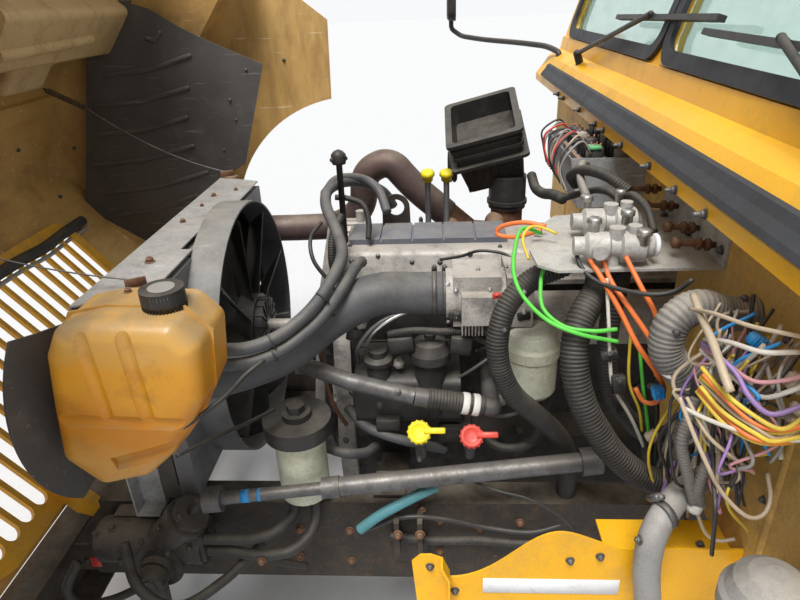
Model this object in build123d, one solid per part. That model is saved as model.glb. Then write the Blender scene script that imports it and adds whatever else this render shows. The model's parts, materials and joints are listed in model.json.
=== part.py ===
"""School bus front end: frame stub, engine, cooling pack, steering, cowl and tilt hood.

Frame: +X forwards, +Y to the driver's side (left), +Z up, millimetres.
The origin lies midway between the rear ends of the two frame rails, at half their depth.
The hood is modelled closed and then turned open about its hinge line.
"""
from build123d import *
from math import cos, pi, radians, sin, tan
import os

# Frame rails
FRAME_WIDTH = 864.0
RAIL_DEPTH = 260.0
RAIL_FLANGE = 76.0
RAIL_WALL = 8.0
RAIL_LENGTH = 1990.0
RAIL_NOSE_X = 1925.0
RAIL_NOSE_Z = 30.0
RAIL_OUT = FRAME_WIDTH / 2
RAIL_IN = RAIL_OUT - RAIL_FLANGE
RAIL_TOP = RAIL_DEPTH / 2
SPLICE_SPACING_X = 80.0
SPLICE_SPACING_Z = 160.0
SPLICE_INSET = 60.0
SPLICE_HOLE_R = 8.5

# Hinge line of the hood, and how far it stands open
HINGE_X = 2000.0
HINGE_Z = -62.0
HINGE_PIN_R = 14.0
HINGE_FIT = 0.3
HINGE_Y = 330.0
HINGE_EAR = 12.0
HINGE_ARM = 30.0
HOOD_OPEN_DEG = 52.0

# Goose-necked hinge arm, from the hinge line: x, z of the closed arm's outline
HINGE_ARM_R = 22.0
HINGE_ARM_OUTLINE = [(13.5, 17.3), (-25.9, 48.1), (-10.0, 92.0), (-30.0, 205.0), (-75.0, 205.0), (-78.0, 80.0),
                     (-55.0, 20.0), (-15.0, -16.0)]

# Bumper
BUMPER_X = 2036.0
BUMPER_DEPTH = 90.0
BUMPER_TOP = -22.0
BUMPER_HEIGHT = 250.0
BUMPER_HALF = 1120.0
BUMPER_WALL = 6.0

# Engine
CRANK_Z = 80.0
BLOCK_FRONT = 1290.0
BLOCK_REAR = 270.0
BLOCK_HALF = 150.0
BLOCK_BOTTOM = -20.0
HEAD_TOP = 590.0
HEAD_HALF = 135.0
COVER_TOP = 668.0
COVER_HALF = 150.0
COVER_RIBS = 4
COVER_RIB_PITCH = 130.0
ALTERNATOR_FINS = 18
FLYWHEEL_FACE = 100.0
FLYWHEEL_R = 245.0
FLYWHEEL_PCD = 466.7
FLYWHEEL_HOLE_R = 5.5
FLYWHEEL_HOLES = 12
FLYWHEEL_BORE_R = 200.0
SEAT = 0.3

# Cooling pack
FAN_Z = 405.0
FAN_R = 335.0
FAN_X = 1585.0
FAN_DEPTH = 62.0
FAN_BLADES = 9
FAN_BLADE_PITCH = 38.0
FAN_BLADE_T = 4.0
FAN_HUB_R = 92.0
HUB_FINS = 16
SHAFT_R = 16.0
SHAFT_FIT = 0.3
RING_R = 356.0
RING_WALL = 5.0
CORE_X = 1700.0
CORE_DEPTH = 62.0
CORE_HALF = 440.0
CORE_BOTTOM = 150.0
CORE_TOP = 700.0
SUPPORT_FRONT = 1800.0
SUPPORT_REAR = 1655.0
SUPPORT_HALF = 500.0
SUPPORT_TOP = 717.0
SUPPORT_SIDE_OUT = CORE_HALF + 44.0
SUPPORT_SIDE_IN = CORE_HALF + SEAT
PORT_Y = CORE_HALF + 53.0
SHEET = 4.0

# Cab front
FIREWALL_X = 540.0
CAB_HALF = 1150.0
FLOOR_Z = 165.0
TOE_TOP = 330.0
TOE_REAR = 360.0
LIP_X = 637.0
LIP_Z = 954.0
CAP_REAR = 290.0
GLASS_X = 530.0
GLASS_Z = 1088.0
GLASS_RAKE = 18.0
GLASS_HEIGHT = 720.0
GLASS_T = 6.0
PILLAR = 62.0
SILL = 15.0
CORNER_POST = 90.0
MID_POST = 20.0
PANE_WIDTH = CAB_HALF - CORNER_POST - MID_POST
TUNNEL_HALF = 345.0
TUNNEL_FRONT_TOP = 780.0
TUNNEL_REAR_TOP = 640.0
TUNNEL_REAR = 30.0

# Steering
SHAFT_FRONT = (1600.0, 520.0, 220.0)
SHAFT_REAR = (686.0, 450.0, 283.0)
STEER_TUBE_R = 19.0
INPUT_BALL_R = 12.0
PITMAN_X = 1740.0
PITMAN_Y = 590.0
PITMAN_Z = 30.0
PITMAN_LENGTH = 200.0
SECTOR_R = 18.0

# Hood, closed
HOOD_REAR_X = 668.0
HOOD_WALL = 6.0
GRILLE_RAKE = 13.0
GRILLE_HALF = 600.0
GRILLE_LOW = 165.0
GRILLE_HIGH = 762.0
GRILLE_BAR = 16.0
GRILLE_PITCH = 62.0
NOSE_OFFSET = 30.0
HOOD_BOTTOM = 62.0
FENDER_HALF = 1140.0
FENDER_REAR = 700.0
FENDER_REAR_LOW = 300.0
FENDER_BOTTOM = 0.0
FENDER_TOP = 660.0
NOSE_BOTTOM = 62.0
WHEEL_X = 1330.0
WHEEL_Z = -290.0
ARCH_R = 560.0
LINER_Y = 850.0
LINER_T = 4.0
LINER_RIB_R = 9.0
LINER_BEND = 12.0
HOOD_RIB = 14.0

# Stiffening ribs across the hood's inside: x, width
HOOD_RIBS = [(690.0, 60.0), (1480.0, 70.0)]

# Raised ribs of each splash liner: start x, z and end x, z, closed
LINER_RIBS = [
    (1114.0, 779.0, 1069.0, 748.0),
    (1328.0, 854.0, 1073.0, 621.0),
    (1458.0, 839.0, 1181.0, 574.0),
    (1559.0, 790.0, 1283.0, 527.0),
    (1674.0, 741.0, 1367.0, 455.0),
    (1755.0, 657.0, 1429.0, 360.0),
    (1820.0, 580.0, 1539.0, 350.0),
]

# Moulded duct under the hood's top
DUCT_REAR = 1062.0
DUCT_FRONT = 1258.0
DUCT_LEFT = -130.0
DUCT_LOW = 870.0

# Hood sections: x, half width, top height, shoulder radius
HOOD_SECTIONS = [
    (HOOD_REAR_X, 965.0, 1034.0, 110.0),
    (1250.0, 945.0, 1012.0, 130.0),
    (2080.0, 915.0, 770.0, 150.0),
]


def prism_x(points_yz, x0, x1):
    """Outline in the Y-Z plane, drawn out from x0 to x1."""
    face = make_face(Polyline(*[(x0, y, z) for y, z in points_yz], close=True))
    return extrude(face, amount=x1 - x0, dir=(1, 0, 0))


def prism_y(points_xz, y0, y1):
    """Outline in the X-Z plane, drawn out from y0 to y1."""
    face = make_face(Polyline(*[(x, y0, z) for x, z in points_xz], close=True))
    return extrude(face, amount=y1 - y0, dir=(0, 1, 0))


def prism_z(points_xy, z0, z1):
    """Outline in the X-Y plane, drawn up from z0 to z1."""
    face = make_face(Polyline(*[(x, y, z0) for x, y in points_xy], close=True))
    return extrude(face, amount=z1 - z0, dir=(0, 0, 1))


def block(x0, x1, y0, y1, z0, z1):
    """Box between two corners."""
    centre = ((x0 + x1) / 2, (y0 + y1) / 2, (z0 + z1) / 2)
    return Pos(*centre) * Box(x1 - x0, y1 - y0, z1 - z0)


def rod(start, end, radius, bore=0.0):
    """Straight round bar or pipe between two points."""
    axis = Vector(*end) - Vector(*start)
    base = Plane(origin=start, z_dir=axis)
    bar = extrude(base * Circle(radius), amount=axis.length)
    if bore:
        bar -= extrude(base * Circle(bore), amount=axis.length)
    return bar


def hose(points, radius, bore=0.0):
    """Round hose on straight runs joined by arcs as large as the runs allow."""
    spots = [Vector(*p) for p in points]
    radii = []
    for before, here, after in zip(spots, spots[1:], spots[2:]):
        run_in = here - before
        run_out = after - here
        turn = radians(run_in.get_angle(run_out))
        radii.append(0.45 * min(run_in.length, run_out.length) / tan(turn / 2))
    path = FilletPolyline(*spots, radius=radii)
    base = Plane(origin=path @ 0, z_dir=path % 0)
    body = sweep(base * Circle(radius), path=path)
    if bore:
        body -= sweep(base * Circle(bore), path=path)
    return body


def mirror_y(shape):
    """Copy on the other side of the centre plane."""
    return mirror(shape, about=Plane.XZ)


def turned(side_line):
    """Solid of revolution about Z; its side line runs from axis to axis as radius, height."""
    return revolve(make_face(Polyline(*[(r, 0, z) for r, z in side_line], close=True)), axis=Axis.Z)


def hull_of(circles):
    """Face round some circles: across, up, radius."""
    rounds = [Pos(across, up) * Circle(radius) for across, up, radius in circles]
    return make_hull([edge for ring in rounds for edge in ring.edges()])


def solids_of(*shapes):
    """Flat list of the solids in some shapes."""
    found = []
    for shape in shapes:
        found += shape.solids()
    return found


# Frame

def frame_rails():
    """Two channel rails, open towards each other, with splice holes and a shackle bracket."""
    profile = [
        (RAIL_IN, -RAIL_TOP), (RAIL_OUT, -RAIL_TOP), (RAIL_OUT, RAIL_TOP), (RAIL_IN, RAIL_TOP),
        (RAIL_IN, RAIL_TOP - RAIL_WALL), (RAIL_OUT - RAIL_WALL, RAIL_TOP - RAIL_WALL),
        (RAIL_OUT - RAIL_WALL, RAIL_WALL - RAIL_TOP), (RAIL_IN, RAIL_WALL - RAIL_TOP),
    ]
    rail = prism_x(profile, 0, RAIL_LENGTH)
    for i in (-1, 1):
        for k in (-1, 1):
            x = SPLICE_INSET + SPLICE_SPACING_X / 2 + i * SPLICE_SPACING_X / 2
            z = k * SPLICE_SPACING_Z / 2
            rail -= rod((x, RAIL_OUT - 2 * RAIL_WALL, z), (x, RAIL_OUT + 1, z), SPLICE_HOLE_R)
    nose = [(RAIL_LENGTH + 1, RAIL_NOSE_Z), (RAIL_LENGTH + 1, RAIL_TOP + 1), (RAIL_NOSE_X, RAIL_TOP + 1), (RAIL_NOSE_X, RAIL_TOP - 20)]
    rail -= prism_y(nose, RAIL_IN - 1, RAIL_OUT + 1)
    return solids_of(rail + shackle_bracket(), mirror_y(rail))


def shackle_bracket():
    """Upright bracket with two ears on the outside of the left rail."""
    x = 1131.0
    plate = block(x - 45, x + 45, RAIL_OUT, RAIL_OUT + 10, -60, RAIL_TOP + 6)
    for side in (-1, 1):
        ear_x = x + side * 28
        plate += block(ear_x - 6, ear_x + 6, RAIL_OUT + 10, RAIL_OUT + 62, 20, RAIL_TOP - 6)
    return plate


def front_crossmember():
    """Channel between the rails' front ends, with the ears that carry the hood."""
    inner = RAIL_OUT - RAIL_WALL
    beam = block(1880, 1960, -inner, inner, -RAIL_TOP + RAIL_WALL, -70)
    beam -= block(1886, 1961, -inner - 1, inner + 1, -RAIL_TOP + RAIL_WALL + 6, -76)
    ear_outline = [(1940, -RAIL_TOP + RAIL_WALL), (2012, -112), (2028, HINGE_Z), (2012, -38), (1986, -38), (1940, -70)]
    gap = HINGE_ARM / 2 + 2
    for side in (-1, 1):
        for face in (-1, 1):
            y = side * HINGE_Y + face * (gap + HINGE_EAR / 2)
            beam += prism_y(ear_outline, y - HINGE_EAR / 2, y + HINGE_EAR / 2)
        reach = gap + HINGE_EAR + 6
        beam += rod((HINGE_X, side * HINGE_Y - reach, HINGE_Z), (HINGE_X, side * HINGE_Y + reach, HINGE_Z), HINGE_PIN_R)
    return beam


def bumper():
    """Straight channel bumper with swept ends, open at the back."""
    front = BUMPER_X + BUMPER_DEPTH
    sweep_back = 140.0
    plan = [(BUMPER_X, -BUMPER_HALF + 60), (BUMPER_X, BUMPER_HALF - 60), (BUMPER_X - sweep_back, BUMPER_HALF - 10),
            (BUMPER_X - sweep_back, BUMPER_HALF), (front - 40, BUMPER_HALF), (front, BUMPER_HALF - 120),
            (front, -BUMPER_HALF + 120), (front - 40, -BUMPER_HALF), (BUMPER_X - sweep_back, -BUMPER_HALF),
            (BUMPER_X - sweep_back, -BUMPER_HALF + 10)]
    outer = prism_z(plan, BUMPER_TOP - BUMPER_HEIGHT, BUMPER_TOP)
    w = BUMPER_WALL
    core = block(BUMPER_X - 1, front - w, -BUMPER_HALF + 130, BUMPER_HALF - 130,
                 BUMPER_TOP - BUMPER_HEIGHT + w, BUMPER_TOP - w)
    shell = outer - core
    for side in (-1, 1):
        y0 = side * (RAIL_OUT - RAIL_WALL / 2)
        shell += block(RAIL_LENGTH, front - w, y0 - 4, y0 + 4, -RAIL_TOP + 10, BUMPER_TOP - w)
    return shell


# Engine

def engine_block():
    """Crankcase and cylinder head as one heavy mass with its real outline."""
    half = [(0, BLOCK_BOTTOM), (BLOCK_HALF + 20, BLOCK_BOTTOM), (BLOCK_HALF + 20, 130), (BLOCK_HALF - 10, 190),
            (BLOCK_HALF - 10, 425), (HEAD_HALF, 425), (HEAD_HALF, HEAD_TOP)]
    outline = half + [(-y, z) for y, z in reversed(half[1:])]
    body = prism_x(outline, BLOCK_REAR, BLOCK_FRONT)
    for i in range(6):
        x = BLOCK_REAR + 95 + i * 165
        for side in (-1, 1):
            y = side * (BLOCK_HALF - 10)
            body -= rod((x, y - 6 * side, 300), (x, y + 6 * side, 300), 27)
    return body


def oil_pan():
    """Deep pan with its sump at the rear."""
    top = BLOCK_BOTTOM - SEAT
    outline = [(BLOCK_REAR, top), (BLOCK_FRONT - 5, top), (BLOCK_FRONT - 5, -110), (980, -140), (760, -250),
               (BLOCK_REAR, -250)]
    pan = prism_y(outline, -BLOCK_HALF - 8, BLOCK_HALF + 8)
    pan = fillet(pan.edges().filter_by(Axis.Y).group_by(Axis.Z)[0], 30)
    return pan


def flywheel_housing():
    """Bell housing with the bolt circle that a gearbox meets."""
    rear = extrude(Plane.YZ.offset(FLYWHEEL_FACE) * Pos(0, CRANK_Z) * Circle(FLYWHEEL_R), amount=24)
    body = extrude(Plane.YZ.offset(FLYWHEEL_FACE) * Pos(0, CRANK_Z) * Circle(FLYWHEEL_R - 22),
                   amount=BLOCK_REAR - SEAT - FLYWHEEL_FACE)
    housing = rear + body
    housing -= extrude(Plane.YZ.offset(FLYWHEEL_FACE) * Pos(0, CRANK_Z) * Circle(FLYWHEEL_BORE_R), amount=120)
    for i in range(FLYWHEEL_HOLES):
        angle = 2 * pi * (i + 0.5) / FLYWHEEL_HOLES
        y = FLYWHEEL_PCD / 2 * cos(angle)
        z = CRANK_Z + FLYWHEEL_PCD / 2 * sin(angle)
        housing -= rod((FLYWHEEL_FACE - 1, y, z), (FLYWHEEL_FACE + 30, y, z), FLYWHEEL_HOLE_R)
    return housing


def valve_cover():
    """Cast cover over the rockers: sloping sides, a bolting flange and three cross ribs."""
    z0 = HEAD_TOP + SEAT
    flange = block(330, 1312, -COVER_HALF, COVER_HALF, z0, z0 + 12)
    slope = [(-COVER_HALF + 12, z0), (COVER_HALF - 12, z0), (COVER_HALF - 44, COVER_TOP), (-COVER_HALF + 44, COVER_TOP)]
    dome = prism_x(slope, 344, 1298)
    dome = fillet(dome.edges().filter_by(Axis.X).group_by(Axis.Z)[-1], 18)
    cover = flange + dome
    for i in range(COVER_RIBS):
        x = 400 + i * COVER_RIB_PITCH
        rib = [(-COVER_HALF + 6, z0), (COVER_HALF - 6, z0), (COVER_HALF - 40, COVER_TOP - 10), (-COVER_HALF + 40, COVER_TOP - 10)]
        cover += prism_x(rib, x, x + 14)
    return cover


def cover_pad():
    """Ribbed sound pad lying on the valve cover."""
    z0 = COVER_TOP + SEAT
    pad = block(870, 1285, -78, 52, z0, z0 + 14)
    for i in range(1, 5):
        x = 870 + i * 83
        pad -= block(x - 3, x + 3, -79, 53, z0 + 8, z0 + 15)
    return pad


def front_cover():
    """Timing cover, with the bearing of the fan shaft."""
    x0 = BLOCK_FRONT + SEAT
    outline = [(-190, -15), (190, -15), (205, 120), (150, 420), (110, 520), (-110, 520), (-150, 420), (-205, 120)]
    cover = prism_x(outline, x0, x0 + 46)
    cover += extrude(Plane.YZ.offset(x0 + 46) * Pos(0, FAN_Z) * Circle(44), amount=BELT_X - SEAT - x0 - 46)
    cover += extrude(Plane.YZ.offset(x0 + 46) * Pos(0, CRANK_Z) * Circle(52), amount=20)
    cover += extrude(Plane.YZ.offset(BELT_X - SEAT) * Pos(0, FAN_Z) * Circle(SHAFT_R), amount=FAN_X - 20 - BELT_X)
    return cover


# Pulleys of the belt drive: y, z, radius
PULLEYS = [
    (0.0, CRANK_Z, 105.0),
    (-250.0, 560.0, 62.0),
    (-165.0, 250.0, 45.0),
    (150.0, 230.0, 60.0),
    (0.0, FAN_Z, 90.0),
]
BELT_X = 1362.0
BELT_W = 30.0
BELT_T = 6.0


def belt_drive():
    """Damper, pulleys and the flat belt round them."""
    parts = []
    for y, z, r in PULLEYS:
        disc = extrude(Plane.YZ.offset(BELT_X) * Pos(y, z) * Circle(r), amount=BELT_W)
        parts.append(disc)
    pulley_set = parts[0]
    hubs = [(0.0, CRANK_Z, BLOCK_FRONT + 66 + 2 * SEAT), (-165.0, 250.0, 1336.0 + 2 * SEAT), (150.0, 230.0, 1336.0 + 2 * SEAT)]
    for y, z, x in hubs:
        stub = extrude(Plane.YZ.offset(x) * Pos(y, z) * Circle(26), amount=BELT_X - x)
        parts.append(stub)
    for piece in parts[1:]:
        pulley_set += piece
    pulley_set -= rod((BELT_X - 1, 0, FAN_Z), (BELT_X + BELT_W + 1, 0, FAN_Z), SHAFT_R + SEAT)
    order = [0, 3, 1, 2, 4]
    rounds = [PULLEYS[i] for i in order]
    face = hull_of([(y, z, r + BELT_T) for y, z, r in rounds]) - hull_of(rounds)
    belt = extrude(Plane.YZ.offset(BELT_X + 2) * face, amount=BELT_W - 4)
    return solids_of(pulley_set + belt)


def intake_manifold():
    """Manifold box on the left of the head, with runners and the throttle body."""
    box = block(400, 900, HEAD_HALF + 50, 266, 470, 600)
    box = fillet(box.edges().filter_by(Axis.X), 30)
    for i in range(6):
        x = 430 + i * 88
        box += block(x, x + 52, HEAD_HALF + SEAT, HEAD_HALF + 60, 486, 566)
    box += block(840, 900, 200, 340, 572, 694)
    throttle = rod((900, 280, 632), (1034, 280, 632), 58, 46)
    throttle += block(912, 1018, 226, 334, 572, 694) - rod((899, 280, 632), (1035, 280, 632), 46)
    throttle += block(930, 1000, 334, 366, 590, 660)
    return box + throttle


CHARGE_R = 50.0
CHARGE_ROUTE = [(1693.7, PORT_Y, 530), (1610, PORT_Y, 530), (1510, 446, 524), (1400, 394, 540), (1300, 326, 600),
                (1195, 290, 640), (1100, 280, 632), (1034.3, 280, 632)]


def charge_pipe():
    """Large air pipe from the charge cooler to the throttle body."""
    return hose(CHARGE_ROUTE, CHARGE_R, CHARGE_R - 4)


# Air cleaner: middle of its mouth, tilt forwards, roll to the left side, foot of its outlet
CLEANER_MOUTH = (913.0, -375.0, 917.0)
CLEANER_TILT = 15.0
CLEANER_ROLL = 18.0
CLEANER_RIBS = 8
CLEANER_RIB_PITCH = 24.0
CLEANER_OUTLET = (830.0, -345.0, 640.0)
CLEANER_OUTLET_R = 58.0

# Turbocharger, and the hot pipe from its knee to the charge cooler
TURBO_X = 960.0
TURBO_Y = -300.0
TURBO_Z = 545.0
TURBO_KNEE = (950.0, -408.0, 535.0)
ELBOW_R = 46.0
ELBOW_ROUTE = [(1021.2, -411.2, 597), (1128, -416, 690), (1205, -420, 782), (1290, -428, 740), (1302, -440, 610),
               (1400, -475, 540), (1550, -PORT_Y, 530), (1693.7, -PORT_Y, 530)]


def turbocharger():
    """Exhaust manifold on the right of the head, with the turbocharger below the air cleaner."""
    log = block(420, 1220, -HEAD_HALF - 90, -HEAD_HALF - 45, 470, 545)
    log = fillet(log.edges().filter_by(Axis.X), 18)
    for i in range(6):
        x = 440 + i * 140
        log += block(x, x + 60, -HEAD_HALF - 60, -HEAD_HALF - SEAT, 480, 535)
    axis = Pos(0, TURBO_Y, TURBO_Z) * Rot(0, 90, 0)
    turbine = Pos(TURBO_X + 50, 0, 0) * axis * Torus(44, 28) + rod((TURBO_X + 10, TURBO_Y, TURBO_Z), (TURBO_X + 95, TURBO_Y, TURBO_Z), 42)
    volute = Pos(TURBO_X - 90, 0, 0) * axis * Torus(58, 30) + rod((TURBO_X - 125, TURBO_Y, TURBO_Z), (TURBO_X - 60, TURBO_Y, TURBO_Z), 56)
    core = rod((TURBO_X - 80, TURBO_Y, TURBO_Z), (TURBO_X + 60, TURBO_Y, TURBO_Z), 36)
    flange = block(TURBO_X + 30, TURBO_X + 70, TURBO_Y, -HEAD_HALF - 60, TURBO_Z - 62, TURBO_Z - 18)
    knee = Vector(*TURBO_KNEE)
    lead = (Vector(*ELBOW_ROUTE[1]) - knee).normalized()
    neck = rod((TURBO_X - 90, TURBO_Y - 62, TURBO_Z), TURBO_KNEE, 38) + Pos(knee) * Sphere(ELBOW_R - 3)
    neck += rod(TURBO_KNEE, tuple(Vector(*ELBOW_ROUTE[0]) - lead * SEAT), ELBOW_R - 3)
    x, y, z = CLEANER_OUTLET
    inlet = rod((x, y, TURBO_Z), (x, y, z - SEAT), CLEANER_OUTLET_R - 8) + Pos(x, y, TURBO_Z) * Sphere(CLEANER_OUTLET_R - 8)
    inlet += rod((x, y, TURBO_Z), (TURBO_X - 90, TURBO_Y, TURBO_Z), 46)
    return log + turbine + volute + core + flange + neck + inlet


def intake_elbow():
    """Hot pipe from the turbocharger, up and over, and forwards to the right side of the charge cooler."""
    return hose(ELBOW_ROUTE, ELBOW_R, ELBOW_R - 4)


def cleaner_section(height, width, depth):
    """Rectangle across the tilted air cleaner, at a height along its own axis."""
    return Pos(*CLEANER_MOUTH) * Rot(-CLEANER_ROLL, CLEANER_TILT, 0) * Pos(0, 0, height) * RectangleRounded(width, depth, 16)


def air_cleaner():
    """Tilted filter housing: ribbed lower case, rim, open bellows inlet on top, round outlet below and its bracket."""
    case = loft([cleaner_section(-190, 176, 214), cleaner_section(-84, 204, 246)])
    grown = loft([cleaner_section(-186, 188, 226), cleaner_section(-84, 216, 258)])
    ribs = None
    for i in range(CLEANER_RIBS):
        x = (i - (CLEANER_RIBS - 1) / 2) * CLEANER_RIB_PITCH
        slab = Pos(*CLEANER_MOUTH) * Rot(-CLEANER_ROLL, CLEANER_TILT, 0) * Pos(x, 0, -135) * Box(6, 300, 110)
        ribs = slab if ribs is None else ribs + slab
    case += grown & ribs
    for height, grow in ((-92, 34), (-58, 14), (-32, 14), (-10, 26)):
        case += extrude(cleaner_section(height, 204 + grow, 246 + grow), amount=10)
    case += loft([cleaner_section(-84, 204, 246), cleaner_section(-2, 208, 252)])
    case -= loft([cleaner_section(-64, 184, 226), cleaner_section(4, 190, 234)])
    x, y, z = CLEANER_OUTLET
    case += rod((x, y, z), (x, y, z + 102), CLEANER_OUTLET_R)
    case += rod((x, y, z + 14), (x, y, z + 26), CLEANER_OUTLET_R + 5)
    bracket = block(815, 845, -485, -455, RAIL_TOP + SEAT, 775)
    bracket += block(815, 845, -485, -RAIL_IN, RAIL_TOP + SEAT, RAIL_TOP + 10)
    return case + bracket


def oil_filter():
    """Oil cooler module with the upright filter, its domed cap and a small sensor tower."""
    base = block(1000, 1262, BLOCK_HALF - 10 + SEAT, 326, 290, 420)
    base = fillet(base.edges().filter_by(Axis.X).group_by(Axis.Y)[-1], 24)
    side = [(0, 320), (38, 320), (38, 462), (50, 470), (50, 492), (46, 500), (38, 516), (20, 524), (0, 526)]
    base += Pos(1073, 300, 0) * turned(side)
    base += extrude(Plane.XY.offset(524) * Pos(1073, 300) * RegularPolygon(14, 6), amount=12)
    tower = [(0, 400), (29, 400), (29, 452), (35, 456), (35, 466), (22, 474), (22, 490), (0, 490)]
    base += Pos(1200, 296, 0) * turned(tower)
    return base


def fuel_filter():
    """Pale fuel filter canister on the side of the manifold."""
    side = [(0, 400), (52, 400), (60, 412), (60, 500), (64, 504), (64, 528), (58, 536), (54, 560), (40, 568), (0, 570)]
    can = Pos(838, 336, 0) * turned(side)
    can += block(820, 852, 266 + SEAT, 336, 486, 520)
    return can


def coolant_tube():
    """Square-section metal tube along the engine's left side, with its hose end."""
    start = (1380, 330, 470)
    mid = (1262, 376, 452)
    end = (1110, 392, 420)
    tube = rod(start, mid, 20) + rod(mid, end, 20) + Pos(*mid) * Sphere(20)
    tube += block(1366, 1396, 150, 345, 452, 488) + block(1337 + SEAT, 1396, 150, 190, 452, 488)
    return tube + rod(end, (930, 385, 384), 22) + Pos(930, 385, 384) * Sphere(22) + \
        rod((930, 385, 384), (930, BLOCK_HALF - 10 + SEAT, 384), 20)


# Filler tubes: start, end, cap radius
FILLERS = [
    ((1100, 300, 215), (1100, 398, 318), 24.0),
    ((978, 300, 215), (978, 398, 306), 22.0),
]


def fill_tubes():
    """Two dipstick and filler necks with their round caps."""
    necks = []
    for (x, y, z), end, cap in FILLERS:
        foot = (x, BLOCK_HALF - 10 + SEAT, z)
        neck = rod(foot, (x, y + 50, z), 13) + Pos(x, y + 50, z) * Sphere(13)
        neck += rod((x, y + 50, z), end, 13)
        neck += rod(end, (end[0], end[1] + 26, end[2] + 12), cap)
        necks.append(neck)
    return solids_of(*necks)


def alternator():
    """Round alternator with a vented, finned housing on its bracket, right of the front cover."""
    y, z, r = PULLEYS[1]
    body = rod((1275, y, z), (1355, y, z), 72)
    for i in range(ALTERNATOR_FINS):
        angle = 360.0 * i / ALTERNATOR_FINS
        body += Pos(1315, y, z) * Rot(angle, 0, 0) * Pos(0, 0, 73) * Box(70, 7, 10)
    body += rod((1355, y, z), (BELT_X - SEAT, y, z), 18)
    body += block(1275, 1289, y, -HEAD_HALF - SEAT, z - 40, z - 10)
    return body + rod((1290, y, z + 60), (1290, y, z + 106), 14)


def compressor():
    """Air compressor low on the engine's right side."""
    body = block(900, 1070, -330, -BLOCK_HALF - 20 - SEAT, 60, 150)
    body += block(920, 1050, -320, -210, 150, 262)
    for i in range(3):
        z = 170 + i * 28
        body += block(914, 1056, -326, -204, z, z + 10)
    return body


def lifting_eye():
    """Upright plate with a round eye on the right side of the head."""
    y0 = -COVER_HALF - 8
    flat = Plane(origin=(0, y0, 0), x_dir=(1, 0, 0), z_dir=(0, -1, 0))
    outline = hull_of([(1172, 702, 40), (1142, 568, 14), (1202, 568, 14)])
    plate = extrude(flat * outline, amount=6, dir=(0, -1, 0))
    plate -= rod((1172, y0 - 10, 702), (1172, y0 + 4, 702), 24)
    return plate + block(1140, 1204, y0 - 1, -HEAD_HALF - SEAT, 556, 586)


def engine_mounts():
    """Four rubber-block brackets between the engine and the rails, and the lifting eye on the head."""
    parts = [lifting_eye()]
    for x in (1180.0, 330.0):
        outer = RAIL_IN - 14
        bracket = block(x - 40, x + 40, BLOCK_HALF + 20 + SEAT, outer, 40, 70)
        bracket += block(x - 40, x + 40, outer - 14, outer, 70, RAIL_TOP + SEAT + 10)
        bracket += block(x - 40, x + 40, outer, RAIL_OUT - 16, RAIL_TOP + SEAT, RAIL_TOP + SEAT + 10)
        parts += [bracket, mirror_y(bracket)]
    return solids_of(*parts)


# Cooling pack

def radiator():
    """Core, side tanks and the charge cooler that stands before it, with an air port on each side."""
    core = block(CORE_X, CORE_X + CORE_DEPTH, -CORE_HALF, CORE_HALF, CORE_BOTTOM + 40, CORE_TOP - 40)
    tanks = block(CORE_X - 4, CORE_X + CORE_DEPTH + 4, -CORE_HALF, CORE_HALF, CORE_TOP - 40, CORE_TOP)
    tanks += block(CORE_X - 4, CORE_X + CORE_DEPTH + 4, -CORE_HALF, CORE_HALF, CORE_BOTTOM, CORE_BOTTOM + 40)
    cooler = block(CORE_X + CORE_DEPTH, CORE_X + CORE_DEPTH + 46, -CORE_HALF + 30, CORE_HALF - 30, 220, 620)
    pack = core + tanks + cooler
    port = block(1694, 1736, CORE_HALF, PORT_Y + 49, 470, 590)
    port = fillet(port.edges().filter_by(Axis.X).group_by(Axis.Y)[-1], 24)
    return pack + port + mirror_y(port)


def radiator_support():
    """Galvanised frame: top plate and two side channels that stand on the rails."""
    z1 = SUPPORT_TOP
    plan = [(SUPPORT_REAR, -SUPPORT_HALF + 60), (SUPPORT_FRONT, -SUPPORT_HALF), (SUPPORT_FRONT, SUPPORT_HALF),
            (SUPPORT_REAR, SUPPORT_HALF - 60)]
    top = prism_z(plan, z1 - SHEET, z1)
    top += block(SUPPORT_FRONT - SHEET, SUPPORT_FRONT, -SUPPORT_HALF, SUPPORT_HALF, z1 - 40, z1)
    top -= extrude(Plane.YZ.offset(SUPPORT_REAR - 10) * Pos(0, FAN_Z) * Circle(RING_R + RING_WALL + 3), amount=40)
    for side in (-1, 1):
        y_out = side * SUPPORT_SIDE_OUT
        y_in = side * SUPPORT_SIDE_IN
        y0, y1 = sorted((y_in, y_in + side * SHEET))
        wall = block(SUPPORT_FRONT - 60, SUPPORT_FRONT, y0, y1, RAIL_TOP + SEAT, z1 - SHEET)
        y0, y1 = sorted((y_in, y_out))
        wall += block(SUPPORT_FRONT - SHEET, SUPPORT_FRONT, y0, y1, RAIL_TOP + SEAT, z1 - SHEET)
        y0, y1 = sorted((side * (RAIL_IN + 4), y_out))
        wall += block(SUPPORT_FRONT - 60, SUPPORT_FRONT, y0, y1, RAIL_TOP + SEAT, RAIL_TOP + SEAT + 8)
        top += wall
    return top


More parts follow.
